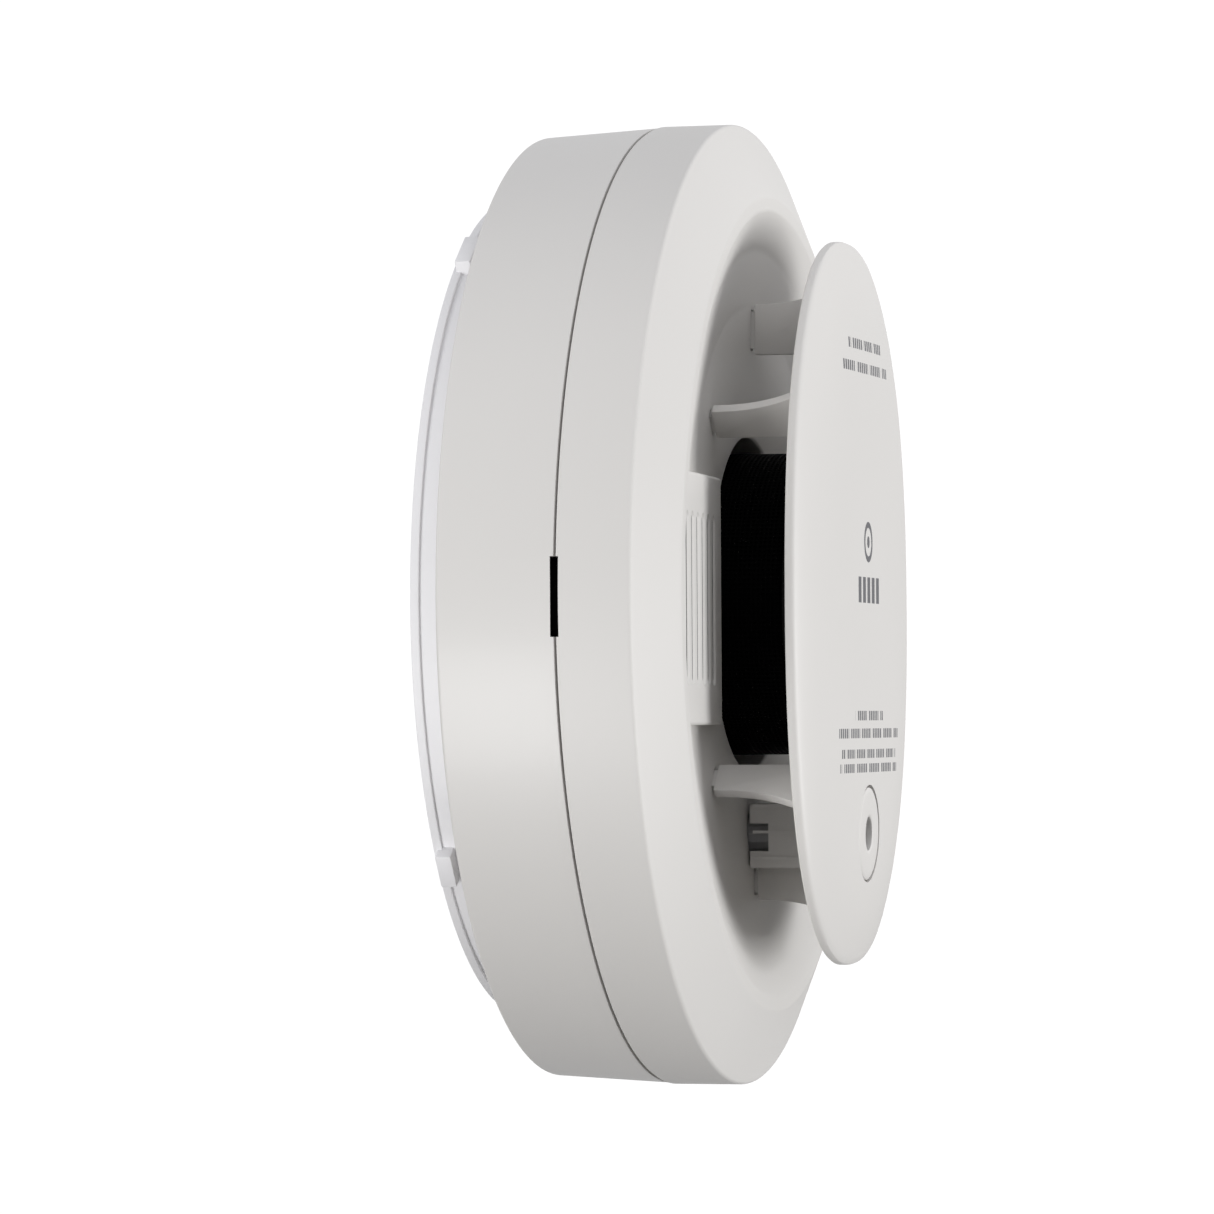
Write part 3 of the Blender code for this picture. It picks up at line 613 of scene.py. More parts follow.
@dataclass(frozen=True)
class SolderMask(Finish):
    """Circuit board lacquer over copper tracks and pads."""

    track_pitch: float = 2.4
    track_share: float = 0.3
    cross_pitch: float = 3.84
    cross_share: float = 0.18
    bend_scale: float = 70.0
    bend: Point = (12.0, 9.0)
    lift: float = 2.1
    pad_pitch: float = 5.1
    pad_area: float = 0.018
    pad_colour: Colour = (0.62, 0.60, 0.55)
    pad_metal: float = 0.9
    pad_polish: float = 0.1

    def surface(self, graph: Graph) -> dict[str, object]:
        """Returns tracks that stand under the lacquer, and bare pads."""
        x, _, z = graph.place()
        bend = graph.noise(self.bend_scale, 1.0)
        run = ((x + bend * (self.bend[0] * MM)) / (self.track_pitch * MM)).fraction()
        cross = ((z + bend * (self.bend[1] * MM)) / (self.cross_pitch * MM)).fraction()
        track = (run < self.track_share).most(cross < self.cross_share)
        pad_x = abs((x / (self.pad_pitch * MM)).fraction() - 0.5)
        pad_z = abs((z / (self.pad_pitch * MM)).fraction() - 0.5)
        pad = (pad_x * pad_x + pad_z * pad_z) < self.pad_area
        lighter = tuple(min(c * self.lift, 1.0) for c in self.colour)
        lacquer = graph.mix(track, self.colour, lighter)
        return {
            "Base Color": graph.mix(pad, lacquer, self.pad_colour),
            "Metallic": pad * self.pad_metal,
            "Roughness": self.roughness - pad * self.pad_polish,
            "Normal": graph.bump(track.most(pad), 0.5, 0.04),
        }


@dataclass(frozen=True)
class Acrylic(Finish):
    """Clear moulding with a slight smoke to it."""

    clearness: float = 0.85
    refraction: float = 1.49
    flow_scale: float = 260.0
    flow_change: float = 0.08

    def surface(self, graph: Graph) -> dict[str, object]:
        """Returns a clear body with faint flow lines."""
        flow = graph.noise(self.flow_scale, 2.0, (1.0, 0.1, 1.0))
        return {
            "Transmission Weight": self.clearness,
            "IOR": self.refraction,
            "Roughness": self.roughness + flow * self.flow_change,
            "Normal": graph.bump(flow, 0.15, 0.02),
        }


@dataclass(frozen=True)
class Sleeve(Finish):
    """Shrink sleeve with one plain band and a fold line along it."""

    band: Colour = (0.62, 0.63, 0.64)
    band_low: float = 12.0
    band_high: float = 16.5
    crease_scale: float = 300.0
    crease_change: float = 0.25

    def surface(self, graph: Graph) -> dict[str, object]:
        """Returns the band and the creases of the shrunk film."""
        _, _, z = graph.place()
        banded = (z > self.band_low * MM) * (z < self.band_high * MM)
        creases = graph.noise(self.crease_scale, 4.0, (1.0, 1.0, 0.15))
        return {
            "Base Color": graph.mix(banded, self.colour, self.band),
            "Roughness": self.roughness + (creases - 0.5) * self.crease_change,
            "Normal": graph.bump(creases, 0.3, 0.05),
        }


LINES = (
    PrintedLine(38.0, 23.0, 1.5, 1.35, 7.4),
    PrintedLine(34.6, 31.0, 1.5, 1.35, 9.2),
    PrintedLine(1.9, 15.6, 3.8, 3.12, 60.0),
    PrintedLine(-16.6, 20.0, 1.4, 1.3, 8.1),
    PrintedLine(-19.2, 42.0, 1.4, 1.3, 7.7),
    PrintedLine(-22.2, 38.0, 1.3, 1.25, 6.9),
    PrintedLine(-24.3, 40.0, 1.3, 1.25, 8.6),
)
WARM_WHITE: Colour = (0.70, 0.685, 0.665)

HOUSING_WHITE = Moulded(
    "housing_white", WARM_WHITE, 0.42, "white_gloss", grain_strength=0.12, coat=0.05
)
COVER_WHITE = Moulded("cover_white", WARM_WHITE, 0.5, "white_grain", grain_strength=0.45)
PAD_WHITE = Slotted("pad_white", WARM_WHITE, 0.5, "white_grain", grain_strength=0.3)
BRACKET_WHITE = Moulded("bracket_white", (0.8, 0.795, 0.81), 0.5, "white_grain", grain_strength=0.5)
PLATE_WHITE = Printed("plate_white", WARM_WHITE, 0.5, "white_grain", grain_strength=0.22, lines=LINES)
GREY_MOULDING = Moulded("grey_moulding", (0.42, 0.42, 0.43), 0.5, "grey_plastic")
BLACK_MOULDING = Moulded(
    "black_moulding", (0.002, 0.002, 0.0022), 0.5, "black_plastic", clouding=0.3, shine=0.12
)
BLACK_MESH = Moulded(
    "black_mesh", (0.0012, 0.0012, 0.0013), 0.6, "black_plastic", clouding=0.3, shine=0.02
)
CLEAR_ACRYLIC = Acrylic("clear_acrylic", (0.03, 0.03, 0.033), 0.15, "clear_plastic")
BOARD_LACQUER = SolderMask("board_lacquer", (0.02, 0.13, 0.055), 0.38, "board_green")
SCREW_STEEL = Metal("screw_steel", (0.56, 0.55, 0.53), 0.3, "steel")
CONTACT_BRASS = Metal("contact_brass", (0.78, 0.57, 0.25), 0.3, "brass")
DISC_CERAMIC = Moulded("disc_ceramic", (0.72, 0.69, 0.62), 0.55, "ceramic")
TAB_NICKEL = Metal("tab_nickel", (0.66, 0.64, 0.60), 0.28, "nickel")
CELL_SLEEVE = Sleeve("cell_sleeve_film", (0.05, 0.15, 0.34), 0.4, "cell_sleeve")
LABEL_PAPER = Moulded("label_paper", (0.74, 0.74, 0.72), 0.7, "paper", grain=900.0)
LAMP_LENS = Acrylic("lamp_lens", (0.55, 0.03, 0.02), 0.2, "lamp_red")
FLOOR_PALE = Finish("floor_pale", (0.85, 0.85, 0.85), 0.9, "floor")
INFRARED_LENS = Acrylic("infrared_lens", (0.05, 0.05, 0.09), 0.2, "infrared_tint")
COPPER_WINDING = Metal("copper_winding", (0.72, 0.34, 0.18), 0.35, "copper", stretch=(1.0, 6.0, 1.0))


class Repeater:
    """A Geometry Nodes tree that repeats its host's own mesh and gives the copies a material."""

    def __init__(self, name: str) -> None:
        """Makes the tree with its count and material inputs.

        Args:
            name: The tree's name.
        """
        self.tree = bpy.data.node_groups.new(name, "GeometryNodeTree")
        self.graph = Graph(self.tree)
        self.sockets: dict[str, str] = {}
        self.declare("Piece", "NodeSocketGeometry")
        self.declare("Count", "NodeSocketInt")
        self.declare("Material", "NodeSocketMaterial")
        self.tree.interface.new_socket(name="Result", in_out="OUTPUT", socket_type="NodeSocketGeometry")

    def declare(self, name: str, kind: str) -> None:
        """Adds a named input."""
        socket = self.tree.interface.new_socket(name=name, in_out="INPUT", socket_type=kind)
        self.sockets[name] = socket.identifier

    def finish(self, inputs: bpy.types.Node, position: Wire, rotation: Wire | None) -> None:
        """Places the copies on points, realises them and gives them their material.

        Args:
            inputs: The tree's Group Input node.
            position: Where each copy goes.
            rotation: How each copy is turned, or None to leave it.
        """
        graph = self.graph
        source = {name: Wire(graph, inputs.outputs[name]) for name in self.sockets}
        points = graph.wire("GeometryNodePoints", {}, {"Count": source["Count"], "Position": position})
        values: dict[int | str, object] = {"Points": points, "Instance": source["Piece"]}
        if rotation:
            values["Rotation"] = graph.wire("FunctionNodeEulerToRotation", {}, {0: rotation})
        copies = graph.wire("GeometryNodeInstanceOnPoints", {}, values)
        real = graph.wire("GeometryNodeRealizeInstances", {}, {0: copies})
        dressed = graph.wire(
            "GeometryNodeSetMaterial", {}, {"Geometry": real, "Material": source["Material"]}
        )
        graph.add("NodeGroupOutput", {}, {0: dressed})

    def repeat(self, obj: bpy.types.Object, finish: Finish, **values: object) -> None:
        """Repeats an object's mesh and makes the result plain.

        Args:
            obj: The object, whose mesh is one copy.
            finish: The copies' surface.
            values: The tree's other inputs by name. One that is left out is zero.
        """
        modifier = obj.modifiers.new("repeat", "NODES")
        modifier.node_group = self.tree
        for name, value in (values | {"Material": finish.material()}).items():
            modifier[self.sockets[name]] = value
        settle(obj)


class Ring(Repeater):
    """Repeats a piece round the detector's axis."""

    def __init__(self) -> None:
        """Builds the tree, with inputs for its radius in metres and its first angle in radians."""
        super().__init__("ring_of_copies")
        self.declare("Radius", "NodeSocketFloat")
        self.declare("Phase", "NodeSocketFloat")
        graph = self.graph
        inputs = graph.add("NodeGroupInput", {}, {})
        index = graph.wire("GeometryNodeInputIndex", {}, {})
        angle = index * math.tau / Wire(graph, inputs.outputs["Count"]) + Wire(graph, inputs.outputs["Phase"])
        radius = Wire(graph, inputs.outputs["Radius"])
        place = graph.wire("ShaderNodeCombineXYZ", {}, {0: angle.cosine() * radius, 2: angle.sine() * radius})
        turn = graph.wire("ShaderNodeCombineXYZ", {}, {1: 0.0 - angle})
        self.finish(inputs, place, turn)


class Row(Repeater):
    """Repeats a piece along a straight line."""

    def __init__(self) -> None:
        """Builds the tree, with inputs for its first place and the step to the next."""
        super().__init__("row_of_copies")
        self.declare("Start", "NodeSocketVector")
        self.declare("Step", "NodeSocketVector")
        graph = self.graph
        inputs = graph.add("NodeGroupInput", {}, {})
        index = graph.wire("GeometryNodeInputIndex", {}, {})
        step = graph.wire(
            "ShaderNodeVectorMath", {"operation": "SCALE"},
            {0: Wire(graph, inputs.outputs["Step"]), "Scale": index},
        )
        place = graph.wire(
            "ShaderNodeVectorMath", {"operation": "ADD"}, {0: Wire(graph, inputs.outputs["Start"]), 1: step}
        )
        self.finish(inputs, place, None)


class Body(Enum):
    """The rigid bodies that the built pieces move with."""

    BRACKET = "wall_bracket"
    DETECTOR = "detector"
    BUTTON = "button"
    SLIDER = "slider"


def piece(name: str, solid: Solid, finish: Finish) -> bpy.types.Object:
    """Makes an object from a solid.

    Args:
        name: The object's name.
        solid: Its shape, which is used up.
        finish: Its surface.

    Returns:
        The object, at the origin.
    """
    mesh = solid.mesh(name)
    mesh.materials.append(finish.material())
    obj = bpy.data.objects.new(name, mesh)
    bpy.context.scene.collection.objects.link(obj)
    return obj


def settle_in(
    obj: bpy.types.Object, body: Body, finish: Finish, nodes: Iterable[str] = (), smooth: bool = True
) -> None:
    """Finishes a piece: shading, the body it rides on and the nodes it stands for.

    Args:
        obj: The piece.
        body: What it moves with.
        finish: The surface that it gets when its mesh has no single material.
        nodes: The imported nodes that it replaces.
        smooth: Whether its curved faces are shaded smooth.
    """
    obj.data.name = obj.name
    if len(obj.data.materials) > 1 or not obj.data.materials or obj.data.materials[0] is None:
        obj.data.materials.clear()
        obj.data.materials.append(finish.material())
    if smooth:
        obj.data.shade_smooth()
        obj.data.set_sharp_from_angle(angle=SHARP_ANGLE)
    if nodes:
        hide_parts(*nodes)
    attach(obj, body.value)
    LOG.info("%s: %d faces on %s", obj.name, len(obj.data.polygons), body.value)


def dress(finish: Finish, *nodes: str) -> None:
    """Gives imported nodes, whose shapes stay, a finished material."""
    for name in nodes:
        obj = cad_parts[name]
        if not obj.material_slots:
            obj.data.materials.append(finish.material())
        for slot in obj.material_slots:
            slot.material = finish.material()
        LOG.info("%s: dressed", name)


@dataclass
class Bayonet:
    """The three hooks and the slots that they turn in."""

    angles: tuple[float, ...] = (60.0, 180.0, 300.0)
    half_span: float = 4.5
    inner: float = 49.2
    outer: float = 50.8
    lip: float = 52.6
    top: float = 8.0
    lip_back: float = 6.6
    foot: float = 0.9
    slot_clearance: float = 0.5
    slot_ahead: float = 5.2
    slot_narrow: float = 6.5
    slot_wide: float = 17.5

    def hooks(self) -> Solid:
        """Returns the bracket's hooks, each with a rounded lip."""
        solid = Solid()
        profile = fillet([
            (self.inner, self.foot, 0), (self.outer, self.foot, 0), (self.outer, self.lip_back, 0.25),
            (self.lip, self.lip_back, 0.2), (self.lip, self.top, 0.7), (self.inner, self.top, 0.3),
        ])
        for angle in self.angles:
            solid.sweep(profile, about(angle, self.half_span), 8)
        return solid

    def slots(self, back: float, front: float) -> Solid:
        """Returns the shape that the housing's slots are cut with, between two depths."""
        solid = Solid()
        gap = self.slot_clearance
        for angle in self.angles:
            wide = (angle - self.slot_wide, angle - self.slot_narrow)
            outline = arc((0, 0), self.outer + gap, wide[1], angle + self.slot_ahead, 10)
            outline += arc((0, 0), self.inner - gap, angle + self.slot_ahead, wide[0], 16)
            outline += arc((0, 0), self.lip + gap, *wide, 10)
            solid.prism(outline, back, front)
        return solid


@dataclass
class Bracket:
    """The ring that is screwed to the wall."""

    bayonet: Bayonet
    radius: float = 60.8
    flange: float = 1.3
    wall_outer: float = 60.3
    wall_inner: float = 58.3
    depth: float = 3.9
    floor: float = 1.8
    lug_radii: Point = (59.2, 62.5)
    lug_depths: Point = (0.5, 2.9)
    lugs_at: tuple[Point, ...] = ((125.3, 7.1), (218.0, 5.6), (305.3, 7.1), (38.0, 5.6))
    windows: tuple[tuple[Point, Point], ...] = (((-10, 10), (8, 20)), ((-14, 14), (-22, -8)))
    window_corner: float = 1.5
    lug_rounding: float = 0.3
    keyhole_x: float = 30.0
    keyhole_head: Point = (-6.0, 4.3)
    keyhole_neck: Point = (6.9, 2.1)
    arc_slot_radii: Point = (40.0, 44.2)
    arc_slot_half: float = 16.0
    cut_depths: Point = (-1.0, 3.0)
    rib_count: int = 12
    rib_start: float = 15.0
    rib_width: float = 0.9
    rib_outline: tuple[Corner, ...] = ((46.5, 1.6, 0), (58.6, 1.6, 0), (58.6, 3.4, 0.3), (53.0, 2.4, 0.4))

    def openings(self) -> Solid:
        """Returns the windows, keyholes and arc slots that go through the bracket."""
        solid = Solid()
        for x, z in self.windows:
            solid.prism(rounded(x, z, self.window_corner), *self.cut_depths)
        (head_z, head), (neck_z, neck) = self.keyhole_head, self.keyhole_neck
        shoulder = math.degrees(math.asin(neck / head))
        for side in (-1, 1):
            outline = arc((side * self.keyhole_x, head_z), head, 90 + shoulder, 450 - shoulder, 28)
            outline += arc((side * self.keyhole_x, neck_z), neck, 0, 180, 14)
            solid.prism(outline, *self.cut_depths)
            span = about(side * 90, self.arc_slot_half)
            solid.sector(self.arc_slot_radii, span, self.cut_depths, 20)
        return solid

    def build(self) -> None:
        """Builds the bracket with its openings, lugs, ribs and hooks."""
        profile = fillet([
            (0, 0, 0), (self.radius, 0, 0.2), (self.radius, self.flange, 0.2),
            (self.wall_outer, self.flange, 0.08), (self.wall_outer, self.depth, 0.35),
            (self.wall_inner, self.depth, 0.35), (self.wall_inner, self.floor, 0.3), (0, self.floor, 0),
        ], closed=False)
        bracket = piece("bracket_ring", Solid().lathe(profile), BRACKET_WHITE)
        combine(bracket, self.openings(), Operation.CUT)
        combine(bracket, self.bayonet.hooks(), Operation.ADD)
        settle_in(bracket, Body.BRACKET, BRACKET_WHITE, ["mounting_bracket"])
        self.lugs()
        self.ribs()

    def lugs(self) -> None:
        """Builds the small lugs round the rim, softened at their edges."""
        solid = Solid()
        (inner, outer), (low, high) = self.lug_radii, self.lug_depths
        for angle, width in self.lugs_at:
            solid.upright_plate(angle, [(inner, low), (outer, low), (outer, high), (inner, high)], width)
        lugs = piece("bracket_lugs", solid, BRACKET_WHITE)
        soften(lugs, self.lug_rounding)
        settle_in(lugs, Body.BRACKET, BRACKET_WHITE)

    def ribs(self) -> None:
        """Builds the low stiffening ribs behind the rim wall."""
        solid = Solid().upright_plate(0, fillet(self.rib_outline), self.rib_width)
        ribs = piece("bracket_ribs", solid, BRACKET_WHITE)
        Ring().repeat(ribs, BRACKET_WHITE, Count=self.rib_count, Phase=math.radians(self.rib_start))
        settle_in(ribs, Body.BRACKET, BRACKET_WHITE)


@dataclass
class Posts:
    """The places of the three screws that hold the two halves together."""

    circle: float = 60.0
    angles: tuple[float, ...] = (90.0, 210.0, 330.0)

    def centres(self) -> list[Point]:
        """Returns X and Z of each screw."""
        return [polar(self.circle, angle) for angle in self.angles]


@dataclass
class RearHousing:
    """The dish behind the seam."""

    bayonet: Bayonet
    posts: Posts
    back: float = 4.3
    floor: float = 6.3
    edge: float = 23.4
    back_radius: float = 69.9
    edge_radius: float = 70.83
    inner_radius: float = 68.6
    flat_radius: float = 61.6
    boss_radius: float = 4.6
    boss_front: float = 9.3
    head_bore: Point = (3.5, 7.0)
    shank_bore: Point = (1.9, 10.5)
    standoffs: tuple[Point, ...] = ((-30.0, 36.0), (-30.0, -36.0), (24.0, 30.0), (24.0, -30.0))
    standoff_radius: float = 2.8
    standoff_front: float = 19.7
    standoff_bore: tuple[float, float, float] = (1.45, 11.0, 21.0)
    cell: Point = (43.0, 16.0)
    cell_bore: Point = (8.8, 16.0)
    cradle_z: tuple[float, ...] = (-13.0, 13.0)
    cradle_half: Point = (9.5, 1.2)
    cradle_front: float = 12.0
    slider_slot: tuple[Point, Point] = ((-4.9, 4.9), (11.8, 16.2))
    label_recess: tuple[Point, Point] = ((-15.3, 15.3), (-14.3, 2.3))
    label_floor: float = 4.8
    pry_notch: tuple[Point, ...] = ((-72.0, 23.3), (-66.0, 21.6), (-66.0, 24.0), (-72.0, 24.0))
    pry_half: float = 5.55

    def profile(self) -> list[Point]:
        """Returns the turned section of the dish."""
        return fillet([
            (0, self.floor, 0), (61.0, self.floor, 1.0), (66.8, 7.8, 0.6), (67.8, 8.9, 0.6),
            (self.inner_radius, self.edge, 0.2), (self.edge_radius, self.edge, 0.12),
            (self.back_radius, 6.35, 0.55), (self.flat_radius, self.back, 0.5), (0, self.back, 0),
        ], 6, closed=False)

    def stands(self) -> Solid:
        """Returns the stand-offs, screw bosses and cradle walls, which start inside the floor."""
        solid = Solid()
        root = self.floor - 1
        for centre in self.standoffs:
            solid.pin(centre, self.standoff_radius, root, self.standoff_front, BORE_SIDES)
        for centre in self.posts.centres():
            solid.pin(centre, self.boss_radius, root, self.boss_front, BORE_SIDES)
        half_x, half_z = self.cradle_half
        for z in self.cradle_z:
            solid.box(about(self.cell[0], half_x), (root, self.cradle_front), about(z, half_z))
        return solid

    def openings(self) -> Solid:
        """Returns the slots, recesses and wide bores that are cut from the dish."""
        outside, inside = self.back - 1, self.floor + 1
        solid = self.bayonet.slots(outside, inside)
        for centre in self.standoffs:
            solid.pin(centre, *self.standoff_bore, SMALL_SIDES)
        for centre in self.posts.centres():
            solid.pin(centre, self.head_bore[0], outside, self.head_bore[1], BORE_SIDES)
        solid.box(self.slider_slot[0], (outside, inside), self.slider_slot[1])
        solid.prism(rounded(*self.label_recess, 1), outside, self.label_floor)
        return solid.side_prism(self.pry_notch, -self.pry_half, self.pry_half)

    def bores(self) -> Solid:
        """Returns the screws' clearance holes and the hollow that the cell lies in."""
        solid = Solid()
        for centre in self.posts.centres():
            solid.pin(centre, self.shank_bore[0], self.back, self.shank_bore[1], SMALL_SIDES)
        radius, half = self.cell_bore
        return solid.rod(at(*self.cell, -half), at(*self.cell, half), radius, ROUND_SIDES)

    def build(self) -> None:
        """Builds the dish with its bosses, slots and battery cradle, and dresses the label on it."""
        housing = piece("housing_dish", Solid().lathe(self.profile(), SHELL_SIDES), HOUSING_WHITE)
        combine(housing, self.stands(), Operation.ADD)
        combine(housing, self.openings(), Operation.CUT)
        combine(housing, self.bores(), Operation.CUT)
        settle_in(housing, Body.DETECTOR, HOUSING_WHITE, ["rear_housing"])
        dress(LABEL_PAPER, "rating_label")


@dataclass
class FrontCover:
    """The band, chamfer and bowl in front of the seam, with the sounder's pad."""

    plate: "FrontPlate"
    posts: Posts
    radius: float = 71.0
    edge: float = 24.1
    crease: float = 34.38
    opening: Point = (24.7, 34.8)
    collar: Point = (26.3, 24.0)
    lip: Point = (66.3, 68.1)
    lip_edge: float = 20.4
    step: Point = (70.72, 23.7)
    post_radius: float = 3.4
    post_depths: Point = (9.7, 37.4)
    post_bore: float = 1.8
    bore_depths: Point = (8.7, 22.5)
    plunger_hole: float = 4.4
    plunger_depths: Point = (31.0, 37.0)
    bowl_cut: Point = (31.0, 37.2)
    tab_gap: float = 0.35
    tab_slot: float = 1.7
    pry_x: Point = (-72.0, -65.0)
    pry_depths: Point = (19.4, 24.12)
    pry_half: float = 5.55
    # black strip behind the pry slot: painted shade that keeps the slot dark
    shade_baffle_radii: Point = (65.4, 66.0)
    shade_baffle_half: float = 7.5
    shade_baffle_depths: Point = (19.4, 25.8)
    pad_x: Point = (-57.3, -25.4)
    pad_depth: Point = (38.9, 36.5)
    pad_half: float = 17.8
    pad_rounding: float = 0.55
    slot_first: float = -55.6
    slot_pitch: float = 4.6
    slots: int = 6
    slot_width: float = 1.2
    slot_half: float = 11.5
    slot_back: float = 30.0
    flare: tuple[Point, ...] = ((0.0, -0.6), (0.85, 0.1), (0.9, 0.6))
    pad_hollow: tuple[Point, Point, Point] = ((-53.5, -30.0), (30.0, 35.4), (-14.0, 14.0))

    def profile(self) -> list[Point]:
        """Returns the turned section of the cover."""
        return fillet([
            (self.radius, self.edge, 0.1), (self.radius, self.crease, 0.7), (60.2, 39.0, 1.3),
            (58.2, 39.0, 2.0), (52.4, 36.9, 6.0), (44.0, 35.45, 6.0), (37.0, 35.3, 4.0),
            (self.opening[0], self.opening[1], 0.5), (self.opening[0], self.collar[1], 0.2),
            (self.collar[0], self.collar[1], 0.2), (self.collar[0], 32.9, 0), (37.0, 33.2, 0),
            (44.0, 33.5, 0), (52.0, 34.9, 0), (59.0, 36.8, 0.6), (68.4, 32.9, 0.6), (68.4, 27.6, 0.4),
            (self.lip[0], 26.2, 0.4), (self.lip[0], self.lip_edge, 0.2), (self.lip[1], self.lip_edge, 0.2),
            (self.lip[1], self.step[1], 0), (self.step[0], self.step[1], 0.1), (self.step[0], self.edge, 0),
        ], 6)

    def pad_outline(self) -> list[Point]:
        """Returns the pad's section in X and depth."""
        (outer, inner), (high, low) = self.pad_x, self.pad_depth
        return [(outer, 37.0), (-52.0, 35.7), (-44.0, 34.3), (inner, 33.8), (inner, low), (outer, high)]

    def grille(self) -> Solid:
        """Returns the slots' shape, from their back up to their flared mouths in the pad's face."""
        solid = Solid()
        half = self.slot_width / 2
        (outer, inner), (high, low) = self.pad_x, self.pad_depth
        for i in range(self.slots):
            x = self.slot_first + i * self.slot_pitch
            face = high + (low - high) * (x - outer) / (inner - outer)
            sections = [(half, self.slot_back)] + [(half + out, face + up) for out, up in self.flare]
            rings = []
            for width, depth in sections:
                outline = arc((x, self.slot_half - half), width, 0, 180, 10)
                outline += arc((x, half - self.slot_half), width, 180, 360, 10)
                rings.append([at(across, depth, up) for across, up in outline])
            solid.loft(rings)
        return solid

    def openings(self) -> Solid:
        """Returns what is cut from the cover: slots, screw holes, plunger hole and tab slots."""
        solid = self.grille()
        solid.pin((0, self.plate.button_z), self.plunger_hole, *self.plunger_depths, BORE_SIDES)
        for centre in self.posts.centres():
            solid.pin(centre, self.post_bore, *self.bore_depths, SMALL_SIDES)
        solid.box(self.pry_x, self.pry_depths, (-self.pry_half, self.pry_half))
        back, front = self.bowl_cut
        for angle, inner, outer, _ in self.plate.struts:
            start, end = self.plate.tab_span(inner, outer)
            low, high = start - self.tab_gap, end + self.tab_gap
            outline = [(low, back), (high, back), (high, front), (low, front)]
            solid.upright_plate(angle, outline, self.tab_slot)
        return solid

    def build(self) -> None:
        """Builds the cover with its posts and openings, a black strip behind its slot for painted shade
        there, and the pad.
        """
        cover = piece("cover_shell", Solid().lathe(self.profile(), SHELL_SIDES), COVER_WHITE)
        posts = Solid()
        for centre in self.posts.centres():
            posts.pin(centre, self.post_radius, *self.post_depths, BORE_SIDES)
        combine(cover, posts, Operation.ADD)
        combine(cover, self.openings(), Operation.CUT)
        settle_in(cover, Body.DETECTOR, COVER_WHITE, ["front_cover"])
        # painted shade: a black strip behind the pry slot makes the slot look dark
        strip = Solid().sector(self.shade_baffle_radii, about(180, self.shade_baffle_half), self.shade_baffle_depths, 16)
        shade_baffle = piece("pry_slot_shade_baffle", strip, BLACK_MOULDING)
        settle_in(shade_baffle, Body.DETECTOR, BLACK_MOULDING)
        block = Solid().side_prism(self.pad_outline(), -self.pad_half, self.pad_half)
        pad = piece("sounder_pad", block, PAD_WHITE)
        combine(pad, Solid().box(*self.pad_hollow), Operation.CUT)
        soften(pad, self.pad_rounding, 3)
        combine(pad, self.grille(), Operation.CUT)
        settle_in(pad, Body.DETECTOR, PAD_WHITE)


